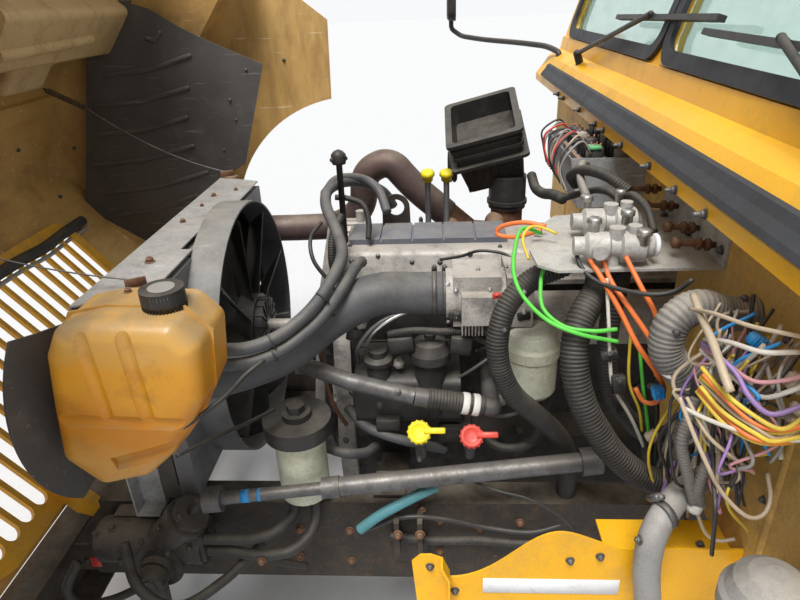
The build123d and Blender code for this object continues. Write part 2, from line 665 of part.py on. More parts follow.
def fan_shroud():
    """Ring round the fan and the box that seals it to the core."""
    x_box = 1652.0
    outer = prism_x([(-CORE_HALF, CORE_BOTTOM), (CORE_HALF, CORE_BOTTOM), (CORE_HALF, CORE_TOP), (-CORE_HALF, CORE_TOP)],
                    x_box, CORE_X - 4 - SEAT)
    t = 4.0
    inner = prism_x([(-CORE_HALF + t, CORE_BOTTOM + t), (CORE_HALF - t, CORE_BOTTOM + t),
                     (CORE_HALF - t, CORE_TOP - t), (-CORE_HALF + t, CORE_TOP - t)], x_box + t, CORE_X)
    ring = extrude(Plane.YZ.offset(1572) * Pos(0, FAN_Z) * Circle(RING_R + RING_WALL), amount=x_box + t - 1572)
    bore = extrude(Plane.YZ.offset(1570) * Pos(0, FAN_Z) * Circle(RING_R), amount=100)
    return outer - inner + ring - bore


def fan():
    """Nine twisted blades on a finned viscous hub."""
    hub_face = FAN_X - 34
    hub = extrude(Plane.YZ.offset(hub_face) * Pos(0, FAN_Z) * Circle(FAN_HUB_R - 14), amount=26)
    hub += extrude(Plane.YZ.offset(hub_face + 20) * Pos(0, FAN_Z) * Circle(FAN_HUB_R), amount=FAN_DEPTH - 12)
    for i in range(HUB_FINS):
        fin = Pos(hub_face + 8, 0, FAN_Z) * Rot(360.0 * i / HUB_FINS, 0, 0) * Pos(0, 0, 56) * Box(24, 3, 52)
        hub += fin
    root = Pos(0, 0, FAN_HUB_R - 12) * Rot(0, 0, FAN_BLADE_PITCH + 12) * Rectangle(FAN_BLADE_T, 84)
    tip = Pos(0, 0, FAN_R + 20) * Rot(0, 0, FAN_BLADE_PITCH - 4) * Rectangle(FAN_BLADE_T, 132)
    blade = loft([root, tip])
    rim = extrude(Plane.YZ.offset(-60) * Circle(FAN_R), amount=120)
    blade = blade & rim
    wheel = hub
    for i in range(FAN_BLADES):
        wheel += Pos(FAN_X + 24, 0, FAN_Z) * Rot(360.0 * i / FAN_BLADES, 0, 0) * blade
    wheel -= extrude(Plane.YZ.offset(hub_face - 5) * Pos(0, FAN_Z) * Circle(SHAFT_R + SHAFT_FIT), amount=40)
    return wheel


TANK_Y0 = SUPPORT_SIDE_OUT + 64.0
TANK_Y1 = TANK_Y0 + 157.0
TANK_LOBES = (1576.0, 1651.0)


def surge_tank():
    """Lobed plastic coolant tank with a seam flange, and its bracket to the radiator frame."""
    outline = [(1740, 715), (1712, 766), (1640, 780), (1500, 775), (1460, 730), (1472, 620), (1508, 552), (1552, 496),
               (1610, 444), (1706, 420), (1772, 490), (1758, 600)]
    body = prism_y(outline, TANK_Y0, TANK_Y1)
    body = fillet(body.edges().filter_by(Axis.Y), 26)
    body = fillet(body.edges().group_by(Axis.Y)[-1], 34)
    for x in TANK_LOBES:
        body -= rod((x, TANK_Y1 + 8, 585), (x + 10, TANK_Y1 + 8, 830), 17)
    body -= rod((1440, TANK_Y1 + 14, 575), (1790, TANK_Y1 + 14, 590), 20)
    body -= rod((1664, TANK_Y1 + 4, 486), (1540, TANK_Y1 + 4, 524), 15)
    middle = (TANK_Y0 + TANK_Y1) / 2
    seam = offset(make_face(Polyline(*[(x, middle, z) for x, z in outline], close=True)), 5, kind=Kind.INTERSECTION)
    body += extrude(seam, amount=4, dir=(0, 1, 0))
    body += rod((1538, 620, 750), (1538, 620, 786), 30)
    strap = block(1742, 1758, SUPPORT_SIDE_IN + SHEET + SEAT, TANK_Y0 + 20, 640, 700)
    return body + strap


# Distance that the shield keeps behind the closed hood's front face
SHIELD_CLEARANCE = 20.0


def splash_shield():
    """Curved plastic deflector before the coolant tank, clipped to the radiator frame."""
    y0 = SUPPORT_SIDE_OUT + 20
    plan = [(1790, y0), (1790, 628), (1806, 750), (1810, 750), (1794, 628), (1794, y0)]
    edges = Polyline((1780, 645, 345), (1780, y0, 372), (1780, y0, 690), (1780, 685, 742))
    edges += ThreePointArc((1780, 685, 742), (1780, 747, 560), (1780, 645, 345))
    plate = prism_z(plan, 318, 760) & extrude(make_face(edges), amount=60, dir=(1, 0, 0))
    plate += block(SUPPORT_FRONT - 12, SUPPORT_FRONT, SUPPORT_SIDE_OUT + SEAT, y0 + 1, 560, 640)
    return plate & nose_half_space(SHIELD_CLEARANCE)


def reservoir_caps():
    """Screw caps of the coolant tank and the steering fluid reservoir."""
    tank_cap = rod((1538, 620, 786 + SEAT), (1538, 620, 812), 39)
    x, y = RESERVOIR_XY
    z0 = RESERVOIR_TOP + SEAT
    fluid_cap = rod((x, y, z0), (x, y, z0 + 40), 80)
    fluid_cap += rod((x, y, z0 + 40), (x, y, z0 + 56), 34)
    fluid_cap += extrude(Plane.XY.offset(z0 + 56) * Pos(x, y) * RegularPolygon(22, 6), amount=18)
    return solids_of(tank_cap, fluid_cap)


COOLANT_R = 14.0
HOSE_ROUTES = [
    [(1562, TANK_Y0 - SEAT, 626), (1562, 524, 626), (1520, 510, 620), (1450, 500, 612), (1385, 466, 622), (1318, 412, 662), (1276, 336, 712),
     (1268, 262, 730), (1296, 190, 770), (1330, 110, 796), (1340, 20, 810), (1306, -80, 806), (1250, -150, 780),
     (1204, -196, 738), (1184, -214, 690)],
    [(1582, TANK_Y0 - SEAT, 594), (1582, 530, 594), (1535, 519, 588), (1455, 502, 578), (1385, 470, 590), (1308, 410, 630), (1262, 348, 680),
     (1240, 262, 700), (1238, 190, 676)],
]


def coolant_hoses():
    """Two hoses from the tank, over and into the engine."""
    parts = [hose(route, COOLANT_R) for route in HOSE_ROUTES]
    return solids_of(*parts)


# Steering

def steering_gear():
    """Steering box bolted outside the left rail: round piston housing, side cover, input neck and cross shaft."""
    y0 = RAIL_OUT + SEAT
    body = rod((1640, y0 + 58, 62), (1892, y0 + 58, 62), 56)
    body += rod((1632, y0 + 58, 62), (1654, y0 + 58, 62), 57.5)
    body += rod((1874, y0 + 58, 62), (1900, y0 + 58, 62), 50)
    foot = block(1660, 1880, y0, y0 + 40, -16, 120)
    body += fillet(foot.edges().filter_by(Axis.Y), 24)
    body += rod((PITMAN_X, y0 + 20, PITMAN_Z), (PITMAN_X, y0 + 118, PITMAN_Z), 62)
    body += rod((1724, y0 + 80, 92), (1640, y0 + 84, 178), 44)
    body += rod((1668, y0 + 83, 149), (1654, y0 + 84, 164), 52)
    ball = Vector(*SHAFT_FRONT) + (Vector(*SHAFT_FRONT) - Vector(*SHAFT_REAR)).normalized() * (INPUT_BALL_R + SEAT)
    body += rod((1644, y0 + 84, 174), tuple(ball), INPUT_BALL_R - 1) + Pos(ball) * Sphere(INPUT_BALL_R)
    body += rod((PITMAN_X, y0 + 100, PITMAN_Z), (PITMAN_X, PITMAN_Y - 20, PITMAN_Z), 42)
    body += rod((PITMAN_X, PITMAN_Y - 20, PITMAN_Z), (PITMAN_X, PITMAN_Y + 18, PITMAN_Z), SECTOR_R)
    body += block(1619.7 + SEAT, 1645, 505, 540, 40, 122)
    return body


def along(start, end, share):
    """Point on the line from start to end."""
    return tuple(a + (b - a) * share for a, b in zip(start, end))


def steering_shaft():
    """Sliding intermediate shaft with a joint yoke at each end."""
    a, b = SHAFT_FRONT, SHAFT_REAR
    shaft = rod(along(a, b, 0.0), along(a, b, 0.32), 15)
    shaft += rod(along(a, b, 0.30), along(a, b, 0.345), 25)
    shaft += rod(along(a, b, 0.34), along(a, b, 0.97), STEER_TUBE_R + 3)
    shaft += rod(along(a, b, 0.0), along(a, b, 0.045), 30)
    shaft += rod(along(a, b, 0.95), along(a, b, 1.0), 32)
    return shaft


def pitman_arm():
    """Forged drop arm, tapered from its boss to the eye of the ball stud."""
    low = PITMAN_Z - PITMAN_LENGTH
    flank = Plane(origin=(PITMAN_X, PITMAN_Y - 10, PITMAN_Z), x_dir=(1, 0, 0), z_dir=(0, 1, 0))
    arm = extrude(flank * hull_of([(0, 0, 34), (0, PITMAN_LENGTH, 25)]), amount=24, dir=(0, 1, 0))
    arm += rod((PITMAN_X, PITMAN_Y - 18, PITMAN_Z), (PITMAN_X, PITMAN_Y + 16, PITMAN_Z), 36)
    arm += rod((PITMAN_X, PITMAN_Y - 12, low), (PITMAN_X, PITMAN_Y + 18, low), 30)
    arm += rod((PITMAN_X, PITMAN_Y + 14, low), (PITMAN_X, PITMAN_Y + 56, low), 15)
    arm -= rod((PITMAN_X, PITMAN_Y - 30, PITMAN_Z), (PITMAN_X, PITMAN_Y + 30, PITMAN_Z), SECTOR_R + SEAT)
    return arm


STEER_HOSE_R = 13.0
STEER_HOSE_ROUTES = [
    [(1619.7, 526, 102), (1570, 526, 102), (1500, 522, 98), (1448, 505, 104), (1412, 452, 112), (1412, 452, 164.7)],
    [(1619.7, 522, 60), (1570, 522, 60), (1490, 534, 56), (1410, 530, 66), (1368, 488, 82), (1358, 452, 112), (1358, 452, 164.7)],
]
RESERVOIR_XY = (1385.0, 421.0)
RESERVOIR_TOP = 345.0
RESERVOIR_BOTTOM = 165.0


def steering_hoses():
    """Feed and return hoses between the reservoir and the steering box."""
    return solids_of(*[hose(route, STEER_HOSE_R) for route in STEER_HOSE_ROUTES])


def fluid_reservoir():
    """Steering fluid reservoir with the bracket that stands on the rail."""
    x, y = RESERVOIR_XY
    can = rod((x, y, RESERVOIR_BOTTOM), (x, y, RESERVOIR_TOP), 60)
    can += rod((x, y, RESERVOIR_TOP - 16), (x, y, RESERVOIR_TOP), 68)
    can += block(x - 30, x + 30, RAIL_IN + 6, RAIL_OUT - 6, RAIL_TOP + SEAT, RESERVOIR_BOTTOM)
    return can


# Cab front

def firewall():
    """Firewall with upright beads, toe board and floor stub, with the engine tunnel pressed back into the cab."""
    t = SHEET
    skin = [(FIREWALL_X, LIP_Z - 30), (FIREWALL_X, TOE_TOP), (TOE_REAR, FLOOR_Z), (0, FLOOR_Z), (0, FLOOR_Z + t),
            (TOE_REAR - 2, FLOOR_Z + t), (FIREWALL_X - t, TOE_TOP + 2), (FIREWALL_X - t, LIP_Z - 30)]
    wall = prism_y(skin, -CAB_HALF, CAB_HALF)
    wall -= prism_y([(-10, 0), (FIREWALL_X + 20, 0), (FIREWALL_X + 20, TUNNEL_FRONT_TOP - t), (-10, TUNNEL_REAR_TOP - t - 10)],
                    -TUNNEL_HALF + t, TUNNEL_HALF - t)
    top = [(TUNNEL_REAR, TUNNEL_REAR_TOP), (FIREWALL_X, TUNNEL_FRONT_TOP), (FIREWALL_X, TUNNEL_FRONT_TOP - t),
           (TUNNEL_REAR, TUNNEL_REAR_TOP - t)]
    tunnel = prism_y(top, -TUNNEL_HALF, TUNNEL_HALF)
    flank = [(0, FLOOR_Z), (TOE_REAR, FLOOR_Z), (FIREWALL_X, TOE_TOP), (FIREWALL_X, TUNNEL_FRONT_TOP),
             (TUNNEL_REAR, TUNNEL_REAR_TOP), (0, TUNNEL_REAR_TOP - 10)]
    tunnel += prism_y(flank, -TUNNEL_HALF, -TUNNEL_HALF + t)
    tunnel += prism_y(flank, TUNNEL_HALF - t, TUNNEL_HALF)
    wall += tunnel
    for share in FIREWALL_BEADS:
        for side in (-1, 1):
            y = side * share * CAB_HALF
            bead = rod((FIREWALL_X - t, y, 420), (FIREWALL_X - t, y, 700), 9)
            wall += bead & block(FIREWALL_X - t, FIREWALL_X + 20, y - 20, y + 20, 400, 720)
    return wall


# Cowl from the sealing lip up to the glass: x, z
COWL_LINE = [(LIP_X, LIP_Z), (604, 996), (590, 1018), (558, 1036), (546, 1042), (GLASS_X + 6, GLASS_Z)]


def above_cowl(shape):
    """Part of a shape that stands on the cowl."""
    line = [(x, z + SEAT) for x, z in COWL_LINE]
    under = [(LIP_X, LIP_Z - 200)] + line + [(GLASS_X + 6, LIP_Z - 200)]
    return shape - prism_y(under, -2 * CAB_HALF, 2 * CAB_HALF)


def cowl_top():
    """Pressed cowl from the sealing lip up to the windscreen, with end caps."""
    t = SHEET
    line = [(LIP_X, LIP_Z - 26)] + COWL_LINE + [(GLASS_X - 20, GLASS_Z)]
    back = [(GLASS_X - 20, GLASS_Z - t), (GLASS_X + 2, GLASS_Z - t), (542, 1037), (556, 1031), (586, 1013), (600, 992),
            (LIP_X - t, LIP_Z - 3), (LIP_X - t, LIP_Z - 26 + t), (FIREWALL_X - t, LIP_Z - 26 + t), (FIREWALL_X - t, LIP_Z - 26)]
    panel = prism_y(line + back, -CAB_HALF, CAB_HALF)
    floor = FLOOR_Z + SHEET + SEAT
    end = [(LIP_X, LIP_Z - 26)] + COWL_LINE
    end += [(CAP_REAR, GLASS_Z), (CAP_REAR, floor), (FIREWALL_X, floor + 160), (FIREWALL_X, LIP_Z - 26)]
    for side in (-1, 1):
        y0, y1 = sorted((side * CAB_HALF, side * (CAB_HALF + t)))
        panel += prism_y(end, y0, y1)
    return panel


def cab_plane():
    """Plane of the windscreen, origin at the middle of its base."""
    rake = radians(GLASS_RAKE)
    return Plane(origin=(GLASS_X - 2, 0, GLASS_Z + SEAT), x_dir=(0, 1, 0), z_dir=(cos(rake), 0, sin(rake)))


def pane_place(side):
    """Middle of one pane on the windscreen's plane."""
    return Pos(side * (PANE_WIDTH / 2 + MID_POST), SILL + GLASS_HEIGHT / 2)


def windscreen_frame():
    """Posts, header and sill round the windscreen, with a post between the two panes."""
    plane = cab_plane()
    w = 2 * CAB_HALF + 2 * SHEET
    h = SILL + GLASS_HEIGHT + PILLAR
    ring = extrude(plane * Pos(0, h / 2) * Rectangle(w, h), amount=-36)
    for side in (-1, 1):
        ring -= extrude(plane * pane_place(side) * RectangleRounded(PANE_WIDTH, GLASS_HEIGHT, 60), amount=-40)
    ring -= block(0, 900, -w, w, 900, GLASS_Z + SEAT)
    return ring


def windscreen_glass():
    """Two flat panes."""
    panes = []
    for side in (-1, 1):
        pane = extrude(cab_plane().offset(-14) * pane_place(side)
                       * RectangleRounded(PANE_WIDTH - 2 * SEAT, GLASS_HEIGHT - 2 * SEAT, 59), amount=-GLASS_T)
        panes.append(pane)
    return solids_of(*panes)


def rubber_seals():
    """Hood seal along the cowl lip and the gasket round each pane."""
    along_lip = [(634, 958.5), (604.5, 996.8), (612, 1003), (620, 1000), (628, 986), (640, 972), (645, 962)]
    seal = prism_y(along_lip, -CAB_HALF + 160, CAB_HALF - 160)
    parts = [seal]
    for side in (-1, 1):
        at = pane_place(side)
        gasket = extrude(cab_plane().offset(SEAT) * at * RectangleRounded(PANE_WIDTH + 28, GLASS_HEIGHT + 28, 74), amount=12)
        gasket -= extrude(cab_plane().offset(-1) * at * RectangleRounded(PANE_WIDTH - 40, GLASS_HEIGHT - 40, 42), amount=20)
        parts.append(gasket)
    return solids_of(*parts)


PLATE_Z = 796.0
VALVE_Z = 836.0

# Air valves on the shelf: x, y, turn about the upright
AIR_VALVES = [(712.0, 385.0, 0.0), (735.0, 522.0, -4.0)]


def air_valve():
    """Air valve lying along X: stepped body, foot, side port, end port and cap."""
    side_line = [(0, -66), (22, -66), (22, -58), (28, -52), (28, -14), (20, -10), (20, 6), (26, 10), (26, 46), (17, 52), (17, 70), (0, 70)]
    body = Rot(0, 90, 0) * turned(side_line)
    body += rod((0, 0, PLATE_Z + 4 - VALVE_Z), (0, 0, 0), 14)
    body += rod((-4, 0, 0), (-4, 0, 36), 14)
    body += rod((28, 0, 0), (28, 38, 0), 13)
    return body + rod((-34, 0, 0), (-34, 0, 40), 12)


def valve_plate():
    """Shelf bracket on the firewall with two air valves and their elbows."""
    x0 = FIREWALL_X + SEAT
    plate = prism_z([(x0, 215), (x0, 545), (835, 548), (868, 520), (872, 440), (840, 320), (790, 240), (600, 215)], PLATE_Z, PLATE_Z + 5)
    plate = fillet(plate.edges().filter_by(Axis.Z).group_by(Axis.X)[-1], 12)
    plate += block(x0, x0 + 5, 215, 545, PLATE_Z, PLATE_Z + 74)
    for x, y, turn in AIR_VALVES:
        plate += Pos(x, y, VALVE_Z) * Rot(0, 0, turn) * air_valve()
    return plate


RELAYS = 6
RELAY_PITCH = 56.0


def relay_box():
    """Open relay tray on the firewall, with two rows of relays and folded ends."""
    x0 = FIREWALL_X + SEAT
    box = prism_y([(x0, 760), (700, 760), (724, 884), (x0, 884)], -300, 60)
    box -= prism_y([(x0 + 4, 764), (697, 764), (721, 885), (x0 + 4, 885)], -296, 56)
    for row in range(2):
        for i in range(RELAYS):
            y = -282 + i * RELAY_PITCH
            x = 572 + row * 62
            box += block(x, x + 42, y, y + RELAY_PITCH - 12, 763, 848 + 6 * row)
    return box


def side_panels():
    """Inner wheelhouse panels on both sides, with a curved top edge, an upright tab and a shelf to the firewall."""
    x0 = FIREWALL_X + SEAT
    crest = Spline((1037, 800, 316), (949, 800, 357), (850, 800, 428), (763, 800, 398), (700, 800, 392))
    rest = Polyline((700, 800, 392), (x0, 800, 392), (x0, 800, 200), (1037, 800, 230), (1037, 800, 316))
    panel = extrude(make_face(crest + rest), amount=4, dir=(0, 1, 0))
    tab = [(1037, 230), (1037, 330), (1049, 362), (1070, 371), (1089, 370), (1104, 354), (1096, 230)]
    panel += prism_y(tab, 800, 804)
    panel += prism_y([(1037, 230), (1037, 330), (1049, 362), (1053, 360), (1041, 328), (1041, 230)], 800, 826)
    panel += prism_y([(x0, 350), (760, 350), (760, 354), (x0, 354)], 700, 802)
    return solids_of(panel, mirror_y(panel))


DRYER_Y = 985.0


def air_dryer():
    """Round canister with a domed cover on a firewall bracket, outboard of the wheelhouse panel."""
    side = [(0, 384), (50, 384), (58, 396), (58, 470), (64, 476), (64, 500), (58, 508), (50, 528), (34, 542), (14, 549), (0, 550)]
    x0 = FIREWALL_X + SEAT
    can = Pos(x0 + 66, DRYER_Y, 0) * turned(side)
    can += block(x0, x0 + 50, DRYER_Y - 30, DRYER_Y + 30, 404, 460)
    can += rod((x0 + 66, DRYER_Y, 430), (x0 + 66, DRYER_Y - 86, 430), 13)
    return can


# Wipers: pivot y, arm end across and up the glass, blade middle across and up, blade length, slope
WIPERS = [
    (-664.0, -90.0, 100.0, -55.0, 96.0, 690.0, 1.6),
    (900.0, 560.0, 82.0, 560.0, 76.0, 620.0, -0.5),
]


def wipers():
    """Two wiper arms with their blades resting before the glass."""
    parts = []
    plane = cab_plane()
    for pivot, elbow_y, elbow_up, blade_y, blade_up, blade_length, slope in WIPERS:
        foot = (562.0, pivot, 1016.0)
        knuckle = (578.0, pivot, 1062.0)
        elbow = (plane.offset(36) * Pos(elbow_y, elbow_up)).position
        arm = rod(foot, knuckle, 13) + Pos(*knuckle) * Sphere(13)
        arm += rod(knuckle, tuple(elbow), 7) + Pos(elbow) * Sphere(8)
        blade = extrude(plane.offset(14) * Pos(blade_y, blade_up) * Rot(0, 0, slope) * Rectangle(blade_length, 12), amount=18)
        mount = rod(tuple(elbow), tuple((plane.offset(20) * Pos(elbow_y, blade_up)).position), 7)
        parts.append(above_cowl(arm) + mount + blade)
    return solids_of(*parts)


MIRROR_BOTTOM = 1145.0
MIRROR_ROUTE = [(572, -1020, 1000), (572, -1020, 1038), (606, -1110, 1056), (700, -1280, 1062), (830, -1480, 1066),
                (930, -1610, 1078), (975, -1650, 1110), (975, -1650, MIRROR_BOTTOM)]


def mirrors():
    """Mirror heads on bent tubes that stand on the cowl's ends."""
    arm = hose(MIRROR_ROUTE, 11)
    head = block(955, 995, -1740, -1560, MIRROR_BOTTOM, MIRROR_BOTTOM + 260)
    head = fillet(head.edges().filter_by(Axis.X), 40)
    head = fillet(head.edges().group_by(Axis.X)[-1], 14)
    unit = above_cowl(arm) + head
    return solids_of(unit, mirror_y(unit))


FIREWALL_BEADS = (0.42, 0.50, 0.73)

# Wiring and hoses at the firewall
CONDUIT_ROUTES = [
    (21.0, [(782, 400, 795.7), (782, 400, 752), (866, 412, 722), (916, 444, 676), (932, 462, 612), (926, 464, 545), (896, 456, 470),
            (835, 436, 400), (780, 412, 330), (742, 392, 250), (742, 392, 130.3)]),
    (24.0, [(752, 520, 795.7), (752, 520, 750), (798, 568, 700), (804, 600, 625), (782, 618, 548), (716, 624, 440), (640, 620, 372),
            (540.3, 620, 372)]),
    (18.0, [(700, 470, 795.7), (700, 470, 740), (714, 484, 668), (716, 498, 584), (696, 504, 486), (622, 508, 400), (540.3, 508, 400)]),
    (26.0, [(540.3, 672, 774), (590, 672, 774), (640, 678, 796), (680, 690, 772), (684, 692, 715), (630, 692, 655), (540.3, 692, 655)]),
    (18.0, [(540.3, 650, 590), (585, 650, 590), (616, 648, 540), (596, 646, 448), (540.3, 646, 448)]),
    (22.0, [(540.3, 740, 492), (600, 740, 492), (660, 786, 500), (712, 838, 470), (716, 844, 400), (700, 844, 300)]),
]


def wiring_conduits():
    """Corrugated conduits and the heater hose in front of the firewall."""
    return solids_of(*[hose(route, radius) for radius, route in CONDUIT_ROUTES])


# Hood

def hood_section(x, half, top, radius, inset, bottom):
    """Arched outline of the hood at one place along X."""
    h = half - inset
    t = top - inset
    r = radius - inset * 0.5
    face = make_face(Polyline((x, -h, bottom), (x, -h, t), (x, h, t), (x, h, bottom), close=True))
    corners = face.vertices().group_by(Axis.Z)[-1]
    return fillet(corners, r)


def hood_form(inset):
    """Closed hood as a solid, drawn in by inset on its top, sides and front."""
    past = 5.0 if inset else 0.0
    rear_x = HOOD_REAR_X - past
    rows = [(rear_x,) + HOOD_SECTIONS[0][1:]] + HOOD_SECTIONS[1:]
    bottom = HOOD_BOTTOM - past
    bonnet = loft([hood_section(x, h, t, r, inset, bottom) for x, h, t, r in rows])
    top = FENDER_TOP - inset
    low = FENDER_BOTTOM - past
    rear = FENDER_REAR - past
    nose_low = NOSE_BOTTOM - past
    outline = [(rear, low), (rear, top), (WHEEL_X + 170, top - 20), (2120, top - 120), (2120, nose_low),
               (WHEEL_X + 200, nose_low), (WHEEL_X + 200, low)]
    half = FENDER_HALF - inset
    fender = prism_y(outline, -half, half)
    edges = fender.edges().filter_by(lambda e: abs(e.center().Y) > half - 1 and e.center().Z > 400 and abs(e.center().X - rear) > 1)
    fender = fillet(edges, 90 - inset)
    gap = block(500, 2300, -700, 700, -400, HOOD_BOTTOM)
    body = bonnet + (fender - gap)
    return body & nose_half_space(inset)


def nose_half_space(inset):
    """Everything behind the raked front face."""
    rake = radians(GRILLE_RAKE)
    x0 = HINGE_X + NOSE_OFFSET - inset / cos(rake)
    low, high = -400.0, 1300.0
    points = [(0, low), (x0 - (low - HINGE_Z) * tan(rake), low), (x0 - (high - HINGE_Z) * tan(rake), high), (0, high)]
    return prism_y(points, -1300, 1300)


def nose_plane(offset=0.0):
    """Plane of the raked front face: its X runs to the right side and its Y up the rake."""
    rake = radians(GRILLE_RAKE)
    return Plane(origin=(HINGE_X + NOSE_OFFSET + offset * cos(rake), 0, HINGE_Z + offset * sin(rake)), x_dir=(0, 1, 0),
                 z_dir=(cos(rake), 0, sin(rake)))


def open_hood(shape):
    """Turn a closed piece of the hood to its open place."""
    return Pos(HINGE_X, 0, HINGE_Z) * Rot(0, HOOD_OPEN_DEG, 0) * Pos(-HINGE_X, 0, -HINGE_Z) * shape


def grille_opening(grow=0.0):
    mid = (GRILLE_LOW + GRILLE_HIGH) / 2
    return Pos(0, mid) * RectangleRounded(2 * (GRILLE_HALF + grow), GRILLE_HIGH - GRILLE_LOW + 2 * grow, 70)


# Headlamp middles on the nose plane: across, up, radius
LAMP = (800.0, 330.0, 105.0)


def hood_shell():
    """Fibreglass hood with fenders, wheel arches, grille opening, lamp holes and inner stiffening ribs."""
    inner = hood_form(HOOD_WALL)
    shell = hood_form(0.0) - inner
    rib_zone = hood_form(HOOD_WALL - 1) - hood_form(HOOD_WALL + HOOD_RIB)
    for x, width in HOOD_RIBS:
        shell += rib_zone & block(x, x + width, -760, 760, 700, 1100)
    inner_top = FENDER_TOP - HOOD_WALL
    fender_rear = [(HOOD_REAR_X - 20, FENDER_BOTTOM - 20), (HOOD_REAR_X - 20, inner_top), (FENDER_REAR, inner_top),
                   (FENDER_REAR, FENDER_REAR_LOW), (FENDER_REAR + 260, FENDER_BOTTOM + 110), (FENDER_REAR + 260, FENDER_BOTTOM - 20)]
    shell -= prism_y(fender_rear, -1300, 1300)
    for side in (-1, 1):
        y0, y1 = sorted((side * 880, side * 1300))
        shell -= rod((WHEEL_X, y0, WHEEL_Z), (WHEEL_X, y1, WHEEL_Z), ARCH_R)
        across, up, radius = LAMP
        shell -= extrude(nose_plane(-40) * Pos(side * across, up) * Circle(radius), amount=80)
    shell -= extrude(nose_plane(-40) * grille_opening(), amount=80)
    return open_hood(shell)


def grille():
    """Panel with a row of round-ended upright slots, with the hinge arms behind it."""
    panel = extrude(nose_plane(-HOOD_WALL - 14) * grille_opening(26), amount=14 - SEAT)
    mid = (GRILLE_LOW + GRILLE_HIGH) / 2
    span = GRILLE_HIGH - GRILLE_LOW
    count = int((2 * GRILLE_HALF - GRILLE_BAR) / GRILLE_PITCH)
    for i in range(count):
        y = (i - (count - 1) / 2) * GRILLE_PITCH
        slot = SlotOverall(span - 2 * GRILLE_BAR, GRILLE_PITCH - GRILLE_BAR, rotation=90)
        panel -= extrude(nose_plane(-HOOD_WALL - 20) * Pos(y, mid) * slot, amount=40)
    for side in (-1, 1):
        low, high = side * HINGE_Y - HINGE_ARM / 2, side * HINGE_Y + HINGE_ARM / 2
        piece = prism_y([(HINGE_X + dx, HINGE_Z + dz) for dx, dz in HINGE_ARM_OUTLINE], low, high)
        piece += rod((HINGE_X, low, HINGE_Z), (HINGE_X, high, HINGE_Z), HINGE_ARM_R)
        piece -= rod((HINGE_X, side * HINGE_Y - 30, HINGE_Z), (HINGE_X, side * HINGE_Y + 30, HINGE_Z), HINGE_PIN_R + HINGE_FIT)
        piece = piece & nose_half_space(HOOD_WALL + 14)
        panel += piece
    return open_hood(panel)


def hood_liner():
    """Splash liners inside the fenders, each with raised bent ribs and a rear flap."""
    outline = [(1853, 713), (1313, 938), (1056, 917), (1018, 815), (1008, 700), (994, 625), (937, 383), (1300, 250),
               (1420, 299), (1600, 350), (1850, 420), (1868, 640)]
    liner = prism_y(outline, LINER_Y, LINER_Y + LINER_T)
    for x0, z0, x1, z1 in LINER_RIBS:
        bend = (0.5 * (x0 + x1) + LINER_BEND, LINER_Y, 0.5 * (z0 + z1) - LINER_BEND)
        ends = [(x0, LINER_Y, z0), bend, (x1, LINER_Y, z1)]
        for a, b in zip(ends, ends[1:]):
            liner += rod(a, b, LINER_RIB_R)
        for spot in ends:
            liner += Pos(*spot) * Sphere(LINER_RIB_R)
    liner = liner & block(0, 2200, 0, LINER_Y + LINER_T, -200, 1200)
    upper = outline[:3]
    strip = upper + [(x, z - LINER_T) for x, z in reversed(upper)]
    liner = (liner + prism_y(strip, LINER_Y, CAB_HALF)) & hood_form(HOOD_WALL + SEAT)
    return solids_of(open_hood(liner), open_hood(mirror_y(liner)))


def hood_duct():
    """Moulded air duct on the inside of the hood's top, with a raised bead and a boss for the check cable's spring."""
    duct = block(DUCT_REAR, DUCT_FRONT, -LINER_Y + 4, DUCT_LEFT, DUCT_LOW, 1100)
    duct = fillet(duct.edges().filter_by(Axis.Y).group_by(Axis.Z)[0], 24)
    duct += rod((DUCT_FRONT - 90, -640, DUCT_LOW + 2), (DUCT_FRONT - 70, DUCT_LEFT - 20, DUCT_LOW + 2), 18)
    boss = block(DUCT_FRONT - 10, DUCT_FRONT + 130, -560, -330, DUCT_LOW + 34, 1100)
    duct += fillet(boss.edges().group_by(Axis.Z)[0] + boss.edges().filter_by(Axis.Z).group_by(Axis.X)[-1], 26)
    return open_hood(duct & hood_form(HOOD_WALL + SEAT))


def headlights():
    """Round lamps set into the nose, each with a domed lens and a bowl behind it."""
    parts = []
    across, up, radius = LAMP
    r = radius - SEAT
    side_line = [(0, -60), (r * 0.55, -50), (r * 0.9, -18), (r, -8), (r, 2), (r * 0.8, 12), (r * 0.45, 18), (0, 20)]
    for side in (-1, 1):
        lamp = nose_plane() * Pos(side * across, up) * turned(side_line)
        parts.append(open_hood(lamp))
    return solids_of(*parts)


NODES = [
    frame_rails, front_crossmember, bumper,
    engine_block, oil_pan, flywheel_housing, valve_cover, cover_pad, front_cover, belt_drive, intake_manifold,
    charge_pipe, turbocharger, intake_elbow, air_cleaner, oil_filter, fuel_filter, coolant_tube, fill_tubes, alternator,
    compressor, engine_mounts,
    radiator, radiator_support, fan_shroud, fan, surge_tank, splash_shield, reservoir_caps, coolant_hoses,
    steering_gear, steering_shaft, pitman_arm, steering_hoses, fluid_reservoir,
    firewall, cowl_top, windscreen_frame, windscreen_glass, rubber_seals, valve_plate, relay_box, side_panels, air_dryer,
    wipers, mirrors, wiring_conduits,
    hood_shell, grille, hood_liner, hood_duct, headlights,
]


def main():
    os.makedirs("parts", exist_ok=True)
    for make in NODES:
        shape = make()
        if isinstance(shape, list):
            shape = shape[0] if len(shape) == 1 else Compound(shape)
        export_step(shape, f"parts/{make.__name__}.step")


main()
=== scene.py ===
"""Looks of the school bus front end: finishes of every surface, fasteners, wiring and small fittings."""
import json
import math
import random

